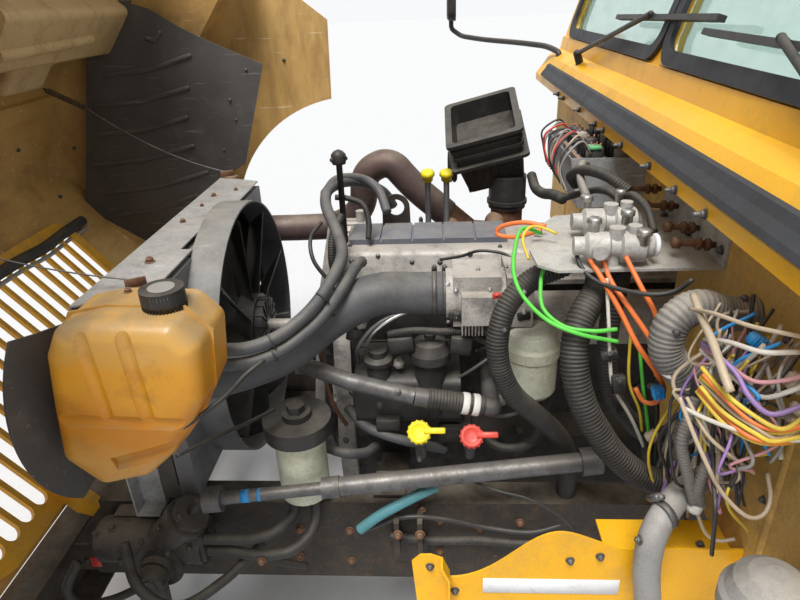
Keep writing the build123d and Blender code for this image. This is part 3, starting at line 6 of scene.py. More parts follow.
import bpy
from mathutils import Matrix, Quaternion, Vector
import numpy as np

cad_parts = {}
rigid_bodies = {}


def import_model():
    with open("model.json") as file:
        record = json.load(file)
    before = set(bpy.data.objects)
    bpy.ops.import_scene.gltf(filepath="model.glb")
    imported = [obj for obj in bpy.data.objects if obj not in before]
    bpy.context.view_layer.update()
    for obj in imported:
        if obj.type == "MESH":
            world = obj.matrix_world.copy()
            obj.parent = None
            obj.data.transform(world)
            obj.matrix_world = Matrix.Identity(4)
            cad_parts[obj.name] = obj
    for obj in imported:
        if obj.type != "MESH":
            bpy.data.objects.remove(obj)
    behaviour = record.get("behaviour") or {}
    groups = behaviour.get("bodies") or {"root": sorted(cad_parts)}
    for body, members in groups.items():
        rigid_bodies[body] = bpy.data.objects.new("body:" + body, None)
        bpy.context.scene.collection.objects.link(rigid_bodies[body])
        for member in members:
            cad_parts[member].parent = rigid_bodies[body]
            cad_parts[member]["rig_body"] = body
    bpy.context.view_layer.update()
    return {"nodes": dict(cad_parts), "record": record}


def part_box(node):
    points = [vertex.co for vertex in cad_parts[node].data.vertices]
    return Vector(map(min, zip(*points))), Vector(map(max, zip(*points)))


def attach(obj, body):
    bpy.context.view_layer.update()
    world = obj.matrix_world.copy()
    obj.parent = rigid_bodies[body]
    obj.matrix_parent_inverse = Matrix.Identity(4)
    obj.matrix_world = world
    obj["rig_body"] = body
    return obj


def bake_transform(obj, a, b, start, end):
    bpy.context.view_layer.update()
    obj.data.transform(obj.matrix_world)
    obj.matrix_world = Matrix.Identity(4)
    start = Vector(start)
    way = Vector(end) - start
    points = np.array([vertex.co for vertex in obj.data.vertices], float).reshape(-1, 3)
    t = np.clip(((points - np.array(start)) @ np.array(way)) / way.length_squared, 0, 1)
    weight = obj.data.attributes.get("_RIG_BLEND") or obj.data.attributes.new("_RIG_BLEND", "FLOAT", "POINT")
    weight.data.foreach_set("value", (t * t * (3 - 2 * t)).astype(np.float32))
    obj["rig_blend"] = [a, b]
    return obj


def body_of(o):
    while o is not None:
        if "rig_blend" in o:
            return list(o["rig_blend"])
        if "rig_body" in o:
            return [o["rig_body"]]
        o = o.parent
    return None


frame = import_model()

ROOT = "front_end"
NODES = frame["nodes"]
AHEAD, UP = (1, 0, 0), (0, 0, 1)

# Camera: place, pitch down, yaw and roll in degrees, and focal length over the image's width
CAMERA_AT = Vector((1.05, 1.587, 1.254))
CAMERA_PITCH = 26.0
CAMERA_YAW = 4.0
CAMERA_ROLL = -2.5
VIEW_WIDE, VIEW_HIGH = 800.0, 600.0
FOCAL_SHARE = 620.0 / VIEW_WIDE
SENSOR = 36.0
CLIP_START = 0.02

# Hinge line of the hood, and how far it stands open
HINGE = Vector((2.0, 0.0, -0.062))
HOOD_OPEN = math.radians(52.0)

# Light: the soft sun's place, aim, strength and width in degrees, the sky's colour and strength,
# and the white that the camera sees behind the part
SUN_AT, SUN_AIM = Vector((1.55, 2.1, 4.4)), Vector((1.0, 0.2, 0.4))
SUN_STRENGTH, SUN_WIDTH = 4.3, 26.0
SKY, SKY_STRENGTH = (0.96, 0.98, 1.0, 1.0), 0.62
BACKGROUND = (0.94, 0.95, 0.96, 1.0)
FLOOR_HALF, FLOOR_Z = 60.0, -0.62

# Paint and rust colours that more than one finish has
YELLOW, ORANGE = (0.88, 0.45, 0.002), (0.80, 0.38, 0.002)
RUST_DARK, RUST_PALE = (0.10, 0.035, 0.014), (0.24, 0.095, 0.035)


def show(obj):
    bpy.context.scene.collection.objects.link(obj)
    return obj


# Camera and light

def add_camera():
    """Camera at the photograph's viewing angle."""
    pitch, yaw, roll = (math.radians(v) for v in (CAMERA_PITCH, CAMERA_YAW, CAMERA_ROLL))
    ahead = Vector((math.sin(yaw) * math.cos(pitch), -math.cos(yaw) * math.cos(pitch), -math.sin(pitch)))
    right = Vector((-math.cos(yaw), -math.sin(yaw), 0.0))
    up = right.cross(ahead)
    right_rolled = right * math.cos(roll) + up * math.sin(roll)
    up_rolled = up * math.cos(roll) - right * math.sin(roll)
    data = bpy.data.cameras.new("camera")
    data.sensor_width = SENSOR
    data.lens = FOCAL_SHARE * SENSOR
    data.clip_start = CLIP_START
    camera = show(bpy.data.objects.new("camera", data))
    axes = Matrix((right_rolled, up_rolled, -ahead)).transposed()
    camera.matrix_world = Matrix.Translation(CAMERA_AT) @ axes.to_4x4()
    bpy.context.scene.camera = camera


def add_sun():
    """Soft sun that shines from above the driver's side."""
    data = bpy.data.lights.new("key", "SUN")
    data.energy = SUN_STRENGTH
    data.angle = math.radians(SUN_WIDTH)
    lamp = show(bpy.data.objects.new("key", data))
    look = (SUN_AIM - SUN_AT).to_track_quat("-Z", "Y")
    lamp.matrix_world = Matrix.Translation(SUN_AT) @ look.to_matrix().to_4x4()


def add_world():
    """Even sky that looks white to the camera, in reflections and through glass."""
    world = bpy.data.worlds.new("sky")
    bpy.context.scene.world = world
    world.use_nodes = True
    nodes, links = world.node_tree.nodes, world.node_tree.links
    nodes.clear()
    out = nodes.new("ShaderNodeOutputWorld")
    mix = nodes.new("ShaderNodeMixShader")
    for socket, colour, strength in ((1, SKY, SKY_STRENGTH), (2, BACKGROUND, 1.0)):
        light = nodes.new("ShaderNodeBackground")
        light.inputs["Color"].default_value = colour
        light.inputs["Strength"].default_value = strength
        links.new(light.outputs[0], mix.inputs[socket])
    path = nodes.new("ShaderNodeLightPath")
    rays = path.outputs["Is Camera Ray"]
    for kind in ("Is Glossy Ray", "Is Transmission Ray"):
        either = nodes.new("ShaderNodeMath")
        either.operation = "MAXIMUM"
        links.new(rays, either.inputs[0])
        links.new(path.outputs[kind], either.inputs[1])
        rays = either.outputs[0]
    links.new(rays, mix.inputs[0])
    links.new(mix.outputs[0], out.inputs[0])


# Materials

class Shade:
    """One procedural material, built from noise in the part's own metres."""

    def __init__(self, name):
        self.material = bpy.data.materials.new(name)
        self.material.use_nodes = True
        self.tree = self.material.node_tree
        self.tree.nodes.clear()
        self.bsdf = self.add("ShaderNodeBsdfPrincipled")
        self.link(self.bsdf.outputs[0], self.add("ShaderNodeOutputMaterial").inputs[0])
        self.place = self.add("ShaderNodeTexCoord").outputs["Object"]
        self.normal = self.add("ShaderNodeNewGeometry").outputs["Normal"]

    def add(self, kind, sockets=(), **values):
        """New node with its properties, and numbers for its sockets by name."""
        node = self.tree.nodes.new(kind)
        for key, value in values.items():
            setattr(node, key, value)
        for key, value in dict(sockets).items():
            node.inputs[key].default_value = value
        return node

    def link(self, output, socket):
        self.tree.links.new(output, socket)

    def feed(self, socket, value):
        """Give a socket a number, a colour or another node's output."""
        if isinstance(value, (int, float)):
            socket.default_value = value
        elif isinstance(value, tuple):
            socket.default_value = (*value, 1.0)
        else:
            self.link(value, socket)

    def noise(self, scale, detail=6.0, rough=0.6, stretch=(1, 1, 1), turn=(0, 0, 0), distortion=0.0):
        """Noise from 0 to 1, with scale in waves per metre."""
        turned = [math.radians(v) for v in turn]
        mapping = self.add("ShaderNodeMapping", {"Scale": stretch, "Rotation": turned})
        node = self.add("ShaderNodeTexNoise", {"Scale": scale, "Detail": detail, "Roughness": rough,
                                               "Distortion": distortion})
        self.link(self.place, mapping.inputs["Vector"])
        self.link(mapping.outputs[0], node.inputs["Vector"])
        return node.outputs["Fac"]

    def band(self, value, low, high, out_low=0.0, out_high=1.0):
        """Value carried from low..high to out_low..out_high, clamped."""
        node = self.add("ShaderNodeMapRange", {"From Min": low, "From Max": high,
                                               "To Min": out_low, "To Max": out_high})
        self.link(value, node.inputs["Value"])
        return node.outputs["Result"]

    def math(self, operation, a, b):
        node = self.add("ShaderNodeMath", operation=operation)
        self.feed(node.inputs[0], a)
        self.feed(node.inputs[1], b)
        return node.outputs[0]

    def mix(self, mask, a, b):
        """Two colours mixed by a mask."""
        node = self.add("ShaderNodeMix", data_type="RGBA")
        for index, value in ((0, mask), (6, a), (7, b)):
            self.feed(node.inputs[index], value)
        return node.outputs[2]

    def facing_up(self):
        """1 on faces that look up, 0 on walls and below."""
        split = self.add("ShaderNodeSeparateXYZ")
        self.link(self.normal, split.inputs[0])
        return self.band(split.outputs["Z"], 0.25, 0.9)

    def outside_of(self, centre):
        """1 on faces that look away from a point, 0 on faces that look at it."""
        gap = self.add("ShaderNodeVectorMath", operation="SUBTRACT")
        gap.inputs[1].default_value = centre
        self.link(self.place, gap.inputs[0])
        dot = self.add("ShaderNodeVectorMath", operation="DOT_PRODUCT")
        self.link(gap.outputs[0], dot.inputs[0])
        self.link(self.normal, dot.inputs[1])
        return self.band(dot.outputs["Value"], -0.02, 0.02)

    def bump(self, height, distance):
        """Relief of a height in metres, over the relief that is there."""
        node = self.add("ShaderNodeBump", {"Strength": 1.0, "Distance": distance})
        self.link(height, node.inputs["Height"])
        normal = self.bsdf.inputs["Normal"]
        if normal.is_linked:
            self.link(normal.links[0].from_socket, node.inputs["Normal"])
        self.link(node.outputs[0], normal)

    def colour(self, value):
        self.feed(self.bsdf.inputs["Base Color"], value)

    def rough(self, value):
        self.feed(self.bsdf.inputs["Roughness"], value)

    def set(self, **values):
        for key, value in values.items():
            self.bsdf.inputs[key.replace("_", " ")].default_value = value


def worn(name, base, tone, grime, rough, metal=0.0, soiled=0.5, dusty=0.35, grain=160.0, grain_depth=0.0004,
         dust=(0.42, 0.36, 0.27), patch=6.0, rust=0.0, scratched=0.0, shine=0.3, coat=0.0):
    """Surface with tone patches, grime in drifts, scratches, rust, dust on what faces up and a fine grain."""
    s = Shade(name)
    colour = s.mix(s.band(s.noise(patch, 5, 0.6), 0.35, 0.65), base, tone)
    drift = s.noise(patch * 3.5, 10, 0.72, distortion=0.2)
    mask = s.band(drift, 0.59 - 0.25 * soiled, 0.80 - 0.2 * soiled)
    colour = s.mix(s.math("MULTIPLY", mask, min(0.9, 0.25 + soiled)), colour, grime)
    if scratched:
        lines = s.noise(70.0, 3, 0.5, stretch=(0.1, 1.0, 1.4), turn=(25, 35, 10))
        bare = tuple(min(1.0, 2.2 * c + 0.12) for c in tone)
        colour = s.mix(s.band(lines, 0.66, 0.70, 0.0, scratched), colour, bare)
    if rust:
        spots = s.noise(patch * 6, 9, 0.75, distortion=0.4)
        rusty = s.band(spots, 0.68 - 0.2 * rust, 0.76 - 0.14 * rust)
        ochre = s.mix(s.band(s.noise(90, 4), 0.4, 0.6), RUST_DARK, RUST_PALE)
        colour = s.mix(s.math("MULTIPLY", rusty, 0.85), colour, ochre)
    specks = s.noise(grain, 4, 0.7)
    colour = s.mix(s.band(specks, 0.40, 0.78, 0.0, 0.45), colour, grime)
    settled = s.math("MULTIPLY", s.facing_up(), s.band(s.noise(14, 8, 0.7), 0.28, 0.62))
    s.colour(s.mix(s.math("MULTIPLY", settled, dusty), colour, dust))
    uneven = s.math("ADD", s.math("MULTIPLY", drift, 0.7), s.math("MULTIPLY", specks, 0.3))
    s.rough(s.band(uneven, 0.35, 0.65, *rough))
    s.set(Metallic=metal, Specular_IOR_Level=shine)
    if coat:
        s.set(Coat_Weight=coat, Coat_Roughness=0.15)
    s.bump(drift, 0.0006)
    s.bump(specks, grain_depth)
    return s


def open_point(x, y, z):
    """Where a point of the closed hood lies when the hood stands open."""
    gap = Vector((x, y, z)) - HINGE
    return Quaternion((0, 1, 0), HOOD_OPEN) @ gap + HINGE


def hood_paint():
    """Hood: glossy yellow outside, stained ochre fibreglass with soot and pale scratches inside."""
    s = Shade("hood_fibreglass")
    wide = s.noise(2.2, 6, 0.6)
    inside = s.mix(s.band(wide, 0.34, 0.66), (0.48, 0.28, 0.085), (0.60, 0.38, 0.14))
    streaks = s.noise(4.0, 9, 0.68, stretch=(5.0, 1.0, 1.0), turn=(0, 52, 0), distortion=0.3)
    inside = s.mix(s.band(streaks, 0.46, 0.74, 0.0, 0.8), inside, (0.31, 0.175, 0.06))
    soot = s.noise(3.4, 10, 0.7)
    inside = s.mix(s.band(soot, 0.54, 0.72, 0.0, 0.75), inside, (0.17, 0.10, 0.042))
    scratches = s.noise(46.0, 3, 0.5, stretch=(0.10, 1.0, 1.6), turn=(20, 30, 0))
    inside = s.mix(s.band(scratches, 0.68, 0.71, 0.0, 0.6), inside, (0.80, 0.70, 0.48))
    outside = s.mix(s.band(wide, 0.35, 0.65), YELLOW, ORANGE)
    outside = s.mix(s.band(soot, 0.58, 0.76, 0.0, 0.3), outside, (0.60, 0.38, 0.12))
    side = s.outside_of(open_point(1.30, 0.0, 0.15))
    s.colour(s.mix(side, inside, outside))
    s.rough(s.band(side, 0.0, 1.0, 0.62, 0.3))
    s.set(Specular_IOR_Level=0.3)
    s.bump(s.noise(240.0, 5, 0.7), 0.0004)
    s.bump(soot, 0.0010)
    return s.material


def radiator_core():
    """Dusty core with fine upright tubes and fins."""
    s = worn("radiator_core", (0.10, 0.10, 0.10), (0.07, 0.07, 0.07), (0.16, 0.13, 0.09), (0.5, 0.8),
             metal=0.3)
    wave = s.add("ShaderNodeTexWave", {"Scale": 60.0}, bands_direction="Y")
    s.link(s.place, wave.inputs["Vector"])
    s.bump(wave.outputs["Fac"], 0.002)
    return s.material


def tank_plastic():
    """Yellowed translucent tank: amber bands low down, paler top, brown film and dust."""
    s = Shade("tank_amber")
    split = s.add("ShaderNodeSeparateXYZ")
    s.link(s.place, split.inputs[0])
    wide = s.noise(6.0, 7, 0.62, distortion=0.3)
    height = s.math("ADD", split.outputs["Z"], s.band(wide, 0.3, 0.7, -0.045, 0.045))
    colour = (0.50, 0.25, 0.05)
    for low, high, above in ((0.49, 0.53, (0.50, 0.19, 0.008)), (0.58, 0.64, (0.62, 0.28, 0.018)),
                             (0.68, 0.76, (0.56, 0.32, 0.085))):
        colour = s.mix(s.band(height, low, high), colour, above)
    stain = s.noise(7.0, 9, 0.68, distortion=0.35)
    colour = s.mix(s.band(stain, 0.52, 0.72, 0.0, 0.72), colour, (0.24, 0.105, 0.026))
    dust = s.math("MULTIPLY", s.facing_up(), s.band(s.noise(12, 8, 0.7), 0.30, 0.6))
    colour = s.mix(s.math("MULTIPLY", dust, 0.85), colour, (0.30, 0.22, 0.13))
    specks = s.noise(180.0, 5, 0.7)
    s.colour(s.mix(s.band(specks, 0.58, 0.78, 0.0, 0.4), colour, (0.26, 0.14, 0.05)))
    s.rough(s.band(stain, 0.35, 0.7, 0.26, 0.5))
    s.set(Subsurface_Weight=0.15, Subsurface_Radius=(0.02, 0.01, 0.003), Specular_IOR_Level=0.35)
    s.bump(stain, 0.0006)
    return s.material


def glazing(name, film, pale, dull, rough, depth, **values):
    """Glass or mirror under an uneven film: film is its noise, depth its relief in metres."""
    s = Shade(name)
    haze = s.noise(*film)
    s.colour(s.mix(s.band(haze, 0.3, 0.7), pale, dull))
    s.rough(s.band(haze, 0.35, 0.75, *rough))
    s.set(**values)
    if depth:
        s.bump(haze, depth)
    return s.material


def vinyl(name, colour):
    """Wire insulation or coloured plastic with a little dirt."""
    dark = tuple(0.35 * c + 0.04 for c in colour)
    return worn(name, colour, tuple(0.85 * c for c in colour), dark, (0.3, 0.5), soiled=0.25, dusty=0.15,
                grain=500.0, grain_depth=0.0001, patch=14.0).material


# Worn finishes by slot, or by a name of their own: material, main colour, second tone, grime, roughness
# from and to, and what worn has other than its defaults
FINISHES = {
    "cab_paint": ("cab_yellow", YELLOW, ORANGE, (0.44, 0.27, 0.06), (0.25, 0.5), dict(
        soiled=0.34, dusty=0.14, grain=300.0, grain_depth=0.0001, dust=(0.72, 0.46, 0.09), patch=2.6,
        shine=0.25, coat=0.08)),
    "firewall_paint": (
        "firewall_dust", (0.66, 0.40, 0.085), (0.54, 0.34, 0.11), (0.20, 0.125, 0.055), (0.5, 0.8), dict(
            soiled=0.34, dusty=0.45, grain=190.0, patch=3.5, rust=0.12)),
    "frame_black": (
        "frame_black", (0.020, 0.019, 0.018), (0.036, 0.031, 0.027), (0.085, 0.062, 0.042), (0.4, 0.75), dict(
            dusty=0.25, rust=0.42, grain_depth=0.0008, shine=0.2)),
    "cast_dirty": (
        "cast_oily", (0.030, 0.027, 0.025), (0.066, 0.058, 0.051), (0.012, 0.010, 0.009), (0.32, 0.7), dict(
            metal=0.1, soiled=0.55, dusty=0.32, grain=320.0, grain_depth=0.0012, patch=8.0, rust=0.28)),
    "cast_rust": (
        "cast_rusty", (0.16, 0.072, 0.036), (0.24, 0.12, 0.062), (0.06, 0.032, 0.022), (0.6, 0.85), dict(
            metal=0.2, grain=300.0, grain_depth=0.0012, patch=10.0, rust=0.5)),
    "alloy": (
        "alloy_dull", (0.50, 0.465, 0.42), (0.34, 0.32, 0.295), (0.055, 0.045, 0.037), (0.4, 0.65), dict(
            metal=0.15, soiled=0.46, dusty=0.55, grain=280.0, grain_depth=0.0005, dust=(0.50, 0.43, 0.35))),
    "zinc": (
        "zinc_weathered", (0.46, 0.465, 0.47), (0.33, 0.335, 0.34), (0.12, 0.105, 0.085), (0.4, 0.65), dict(
            metal=0.2, soiled=0.4, dusty=0.4, rust=0.26, grain=150.0, scratched=0.3)),
    "steel": (
        "steel_dull", (0.135, 0.135, 0.138), (0.090, 0.090, 0.094), (0.045, 0.036, 0.028), (0.34, 0.6), dict(
            metal=0.35, soiled=0.46, dusty=0.3, rust=0.34, patch=9.0)),
    "black_plastic": (
        "plastic_black", (0.016, 0.016, 0.017), (0.029, 0.028, 0.028), (0.075, 0.066, 0.053), (0.34, 0.6),
        dict(soiled=0.34, dusty=0.4, dust=(0.19, 0.168, 0.132), grain=420.0, grain_depth=0.0003)),
    "grey_plastic": (
        "plastic_grey", (0.27, 0.265, 0.255), (0.33, 0.32, 0.30), (0.12, 0.10, 0.08), (0.45, 0.7), dict(
            soiled=0.35, dusty=0.45, grain=380.0, grain_depth=0.0003, dust=(0.52, 0.46, 0.37))),
    "shroud_plastic": (
        "shroud_bleached", (0.135, 0.135, 0.142), (0.20, 0.20, 0.208), (0.055, 0.050, 0.044), (0.42, 0.64),
        dict(soiled=0.34, dusty=0.5, dust=(0.33, 0.30, 0.24), grain=300.0, grain_depth=0.0003, patch=3.6,
             scratched=0.2)),
    "canister_white": (
        "canister_pale", (0.60, 0.62, 0.50), (0.52, 0.53, 0.41), (0.22, 0.18, 0.11), (0.35, 0.6), dict(
            soiled=0.36, grain=200.0, patch=9.0)),
    "rubber_black": (
        "rubber_black", (0.014, 0.014, 0.014), (0.026, 0.025, 0.025), (0.075, 0.065, 0.050), (0.45, 0.72),
        dict(soiled=0.35, dusty=0.5, dust=(0.17, 0.148, 0.115), grain=350.0)),
    "hose_grey": (
        "hose_grey", (0.062, 0.065, 0.072), (0.090, 0.091, 0.096), (0.035, 0.031, 0.027), (0.45, 0.7), dict(
            soiled=0.36, dusty=0.55, dust=(0.23, 0.205, 0.165), grain=330.0, patch=5.0)),
    "duct_beige": (
        "duct_beige", (0.62, 0.44, 0.22), (0.52, 0.36, 0.17), (0.24, 0.16, 0.08), (0.5, 0.75), dict(
            soiled=0.4, dusty=0.2, grain=220.0, patch=3.0)),
    "grille_paint": (
        "grille_yellow", (0.84, 0.42, 0.006), (0.70, 0.33, 0.006), (0.36, 0.22, 0.07), (0.35, 0.6), dict(
            soiled=0.4, dusty=0.25, grain=240.0, grain_depth=0.0002)),
    "liner": (
        "liner_scuffed", (0.052, 0.051, 0.053), (0.085, 0.080, 0.078), (0.15, 0.13, 0.11), (0.36, 0.6), dict(
            soiled=0.30, dusty=0.2, grain=420.0, grain_depth=0.0003, patch=3.0, scratched=0.35)),
    "pad": (
        "pad_slate", (0.105, 0.118, 0.155), (0.085, 0.094, 0.125), (0.20, 0.17, 0.14), (0.4, 0.6), dict(
            soiled=0.30, dusty=0.28, grain=300.0, grain_depth=0.0003, patch=9.0)),
    "hot_pipe": (
        "pipe_oxidised", (0.105, 0.068, 0.062), (0.070, 0.050, 0.052), (0.18, 0.12, 0.085), (0.45, 0.7), dict(
            metal=0.35, soiled=0.35, grain=260.0, patch=7.0)),
    "shelf": (
        "shelf_dusty", (0.50, 0.49, 0.46), (0.38, 0.37, 0.35), (0.16, 0.14, 0.115), (0.45, 0.7), dict(
            metal=0.15, soiled=0.42, dusty=0.5, rust=0.15, grain=200.0, patch=9.0, dust=(0.52, 0.47, 0.38))),
    "seal": (
        "seal_bleached", (0.026, 0.027, 0.031), (0.042, 0.044, 0.050), (0.018, 0.018, 0.018), (0.5, 0.75),
        dict(soiled=0.35, dusty=0.45, dust=(0.075, 0.073, 0.070), grain=350.0, patch=4.0)),
    "conduit_grey": (
        "conduit_dusty", (0.10, 0.10, 0.105), (0.17, 0.16, 0.15), (0.30, 0.26, 0.20), (0.5, 0.75), dict(
            soiled=0.4, dusty=0.65, grain=300.0, grain_depth=0.0003, dust=(0.42, 0.37, 0.29), patch=8.0)),
    "bright": (
        "steel_bright", (0.55, 0.55, 0.54), (0.42, 0.41, 0.39), (0.16, 0.12, 0.08), (0.22, 0.45), dict(
            metal=0.8, soiled=0.35, dusty=0.25, rust=0.15, patch=20.0, grain=500.0, grain_depth=0.0001)),
}

# Glass and mirror: material, film, pale and dull colour, roughness from and to, relief, and shader values
GLASS = {
    "glass_green": ("glass_green", (22.0, 6, 0.6), (0.60, 0.78, 0.71), (0.50, 0.70, 0.62), (0.02, 0.12), 0.0,
                    dict(Transmission_Weight=0.9, IOR=1.45)),
    "lamp_glass": ("lamp_glass", (70.0, 2, 0.4, (1, 1, 0.1)), (0.86, 0.88, 0.89), (0.70, 0.73, 0.75),
                   (0.05, 0.2), 0.002, dict(Coat_Weight=0.6, Metallic=0.35)),
    "mirror": ("mirror_glass", (30.0, 6, 0.6), (0.80, 0.82, 0.84), (0.66, 0.69, 0.71), (0.03, 0.16), 0.0,
               dict(Metallic=0.9)),
}
OWN_FINISHES = {"hood_paint": hood_paint, "radiator_alloy": radiator_core, "tank_plastic": tank_plastic}
NODE_FINISH = {"hood_liner": "liner", "cover_pad": "pad", "intake_elbow": "hot_pipe", "valve_plate": "shelf",
               "rubber_seals": "seal", "relay_box": "zinc", "splash_shield": "liner"}
# Colours of the wires and other small coloured parts, each made as a vinyl finish.
WIRE_COLOURS = {
    "wire_white": (0.66, 0.62, 0.54), "wire_yellow": (0.78, 0.56, 0.05), "wire_green": (0.10, 0.62, 0.06),
    "wire_orange": (0.88, 0.20, 0.04), "wire_red": (0.62, 0.05, 0.03), "wire_blue": (0.02, 0.30, 0.72),
    "wire_purple": (0.30, 0.18, 0.42), "wire_tan": (0.50, 0.40, 0.28), "wire_black": (0.025, 0.025, 0.025),
    "wire_pink": (0.62, 0.30, 0.32), "cap_yellow": (0.90, 0.72, 0.01), "cap_red": (0.72, 0.07, 0.05),
    "plate_white": (0.80, 0.80, 0.80), "hose_turquoise": (0.07, 0.24, 0.27), "tape_white": (0.74, 0.71, 0.65),
    "plate_green": (0.10, 0.42, 0.16), "wire_grey": (0.30, 0.29, 0.27), "copper": (0.50, 0.22, 0.12),
}
made = {}


def make_finish(slot):
    """New material of a slot, of another finish or of a wire colour."""
    if slot in OWN_FINISHES:
        return OWN_FINISHES[slot]()
    if slot in GLASS:
        *looks, values = GLASS[slot]
        return glazing(*looks, **values)
    if slot in FINISHES:
        *looks, values = FINISHES[slot]
        return worn(*looks, **values).material
    return vinyl(slot, WIRE_COLOURS[slot])


def finish_of(slot):
    """Material of a finish, made once."""
    if slot not in made:
        made[slot] = make_finish(slot)
    return made[slot]


def dress_cad():
    """Give each node the finish of its slot, or its own."""
    for part in frame["record"]["subparts"]:
        mesh = NODES[part["node"]].data
        mesh.materials.clear()
        mesh.materials.append(finish_of(NODE_FINISH.get(part["node"], part["material_slot"])))
        for face in mesh.polygons:
            face.material_index = 0


# Mesh helpers

def axes_along(direction):
    """Unit vector along a direction, and two square to it."""
    d = Vector(direction).normalized()
    side = d.orthogonal().normalized()
    return d, side, d.cross(side)


def spin(degrees, axis):
    return Matrix.Rotation(math.radians(degrees), 3, axis)


class Builder:
    """Gathers points and faces of many small forms into one piece."""

    def __init__(self):
        self.points = []
        self.faces = []

    def ring(self, centre, u, v, radius, sides):
        """Points round a centre, in the plane of two axes."""
        first = len(self.points)
        for i in range(sides):
            a = 2 * math.pi * i / sides
            self.points.append(centre + u * (radius * math.cos(a)) + v * (radius * math.sin(a)))
        return list(range(first, first + sides))

    def skin(self, rings, caps=True):
        """Faces from ring to ring, and over both ends."""
        for a, b in zip(rings, rings[1:]):
            n = len(a)
            self.faces += [(a[i], a[(i + 1) % n], b[(i + 1) % n], b[i]) for i in range(n)]
        if caps:
            self.faces += [tuple(reversed(rings[0])), tuple(rings[-1])]

    def revolve(self, base, axis, profile, sides, caps=True):
        """Form turned about an axis: profile is rows of distance along the axis and radius."""
        d, u, v = axes_along(axis)
        base = Vector(base)
        self.skin([self.ring(base + d * along, u, v, radius, sides) for along, radius in profile], caps)

    def sleeve(self, base, axis, radius, thick, width, sides):
        """Thin open band round an axis."""
        outer = radius + thick
        profile = [(0, radius), (0, outer), (width, outer), (width, radius)]
        self.revolve(base, axis, profile, sides, caps=False)

    def bolt(self, at, axis, across):
        """Washer, hexagon head and a domed tip."""
        r = across / 2
        self.revolve(at, axis, [(0, r * 1.45), (r * 0.22, r * 1.45), (r * 0.28, r * 1.35)], 18)
        base = Vector(at) + Vector(axis).normalized() * (r * 0.2)
        self.revolve(base, axis, [(0, r * 1.1), (r * 0.95, r * 1.1), (r * 1.1, r * 0.9)], 6)
        self.revolve(base, axis, [(0, r * 0.55), (r * 1.4, r * 0.55), (r * 1.5, r * 0.4)], 12)

    def box(self, centre, size, turn=None, bevel=0.001):
        """Bevelled block."""
        hx, hy, hz = (s / 2 for s in size)
        b = min(bevel, hx * 0.5, hy * 0.5, hz * 0.5)
        turn = turn or Matrix.Identity(3)
        rings = []
        for z, pull in ((-hz, b), (-hz + b, 0.0), (hz - b, 0.0), (hz, b)):
            first = len(self.points)
            x, y = hx - pull, hy - pull
            outline = [(x - b, -y), (x, -y + b), (x, y - b), (x - b, y),
                       (-x + b, y), (-x, y - b), (-x, -y + b), (-x + b, -y)]
            self.points += [Vector(centre) + turn @ Vector((px, py, z)) for px, py in outline]
            rings.append(list(range(first, first + 8)))
        self.skin(rings)

    def tube(self, path, radius_of, sides):
        """Tube along a list of points: radius_of gives the radius at each index."""
        last = len(path) - 1
        tangents = [(path[min(i + 1, last)] - path[max(i - 1, 0)]).normalized() for i in range(last + 1)]
        u = tangents[0].orthogonal().normalized()
        rings = []
        for i, tangent in enumerate(tangents):
            if i:
                u = tangents[i - 1].rotation_difference(tangent) @ u
            rings.append(self.ring(path[i], u, tangent.cross(u), radius_of(i), sides))
        self.skin(rings)

    def clamp(self, at, axis, radius):
        """Band clamp with its screw housing."""
        width, screw_out, screw_half = 0.012, 0.007, 0.024
        d, u, v = axes_along(axis)
        at = Vector(at)
        self.sleeve(at - d * width / 2, axis, radius, 0.0012, width, 36)
        screw = at + v * (radius + screw_out)
        self.box(screw, (width * 1.1, 0.03, 0.011), Matrix((d, u, v)).transposed())
        self.revolve(screw - u * screw_half, u, [(0, 0.005), (2 * screw_half, 0.005)], 8)

    def done(self, name, slot, body=ROOT):
        """The gathered form as a mesh piece in the part's frame, riding on a body unless that is None."""
        mesh = bpy.data.meshes.new(name)
        mesh.from_pydata([tuple(p) for p in self.points], [], self.faces)
        mesh.update()
        for face in mesh.polygons:
            face.use_smooth = True
        mesh.materials.append(finish_of(slot))
        piece = show(bpy.data.objects.new(name, mesh))
        if body:
            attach(piece, body)
        return piece


def smooth_path(points, step=0.006):
    """Even points on a smooth line through hand-set points."""
    spots = [Vector(p) for p in points]
    spots = [spots[0] * 2 - spots[1]] + spots + [spots[-1] * 2 - spots[-2]]
    path = []
    for p0, p1, p2, p3 in zip(spots, spots[1:], spots[2:], spots[3:]):
        count = max(2, int((p2 - p1).length / step))
        for i in range(count):
            t = i / count
            path.append(0.5 * ((2 * p1) + (p2 - p0) * t + (2 * p0 - 5 * p1 + 4 * p2 - p3) * t * t
                               + (3 * p1 - p0 - 3 * p2 + p3) * t ** 3))
    path.append(spots[-2])
    return path


def arc_path(points, step):
    """Even points on straight runs joined by the arcs that the hoses have."""
    spots = [Vector(p) for p in points]
    line = [spots[0]]
    for before, here, after in zip(spots, spots[1:], spots[2:]):
        a, b = (here - before), (after - here)
        turn = a.angle(b)
        cut = 0.45 * min(a.length, b.length)
        start = here - a.normalized() * cut
        radius = cut / math.tan(turn / 2)
        inward = (b.normalized() - a.normalized()).normalized()
        centre = here + inward * (radius / math.cos(turn / 2))
        axis = a.cross(b).normalized()
        count = max(2, int(radius * turn / step))
        for i in range(count + 1):
            line.append(centre + Quaternion(axis, turn * i / count) @ (start - centre))
    line.append(spots[-1])
    even = [line[0]]
    for p, q in zip(line, line[1:]):
        count = max(1, int((q - p).length / step))
        even += [p.lerp(q, (i + 1) / count) for i in range(count)]
    return even


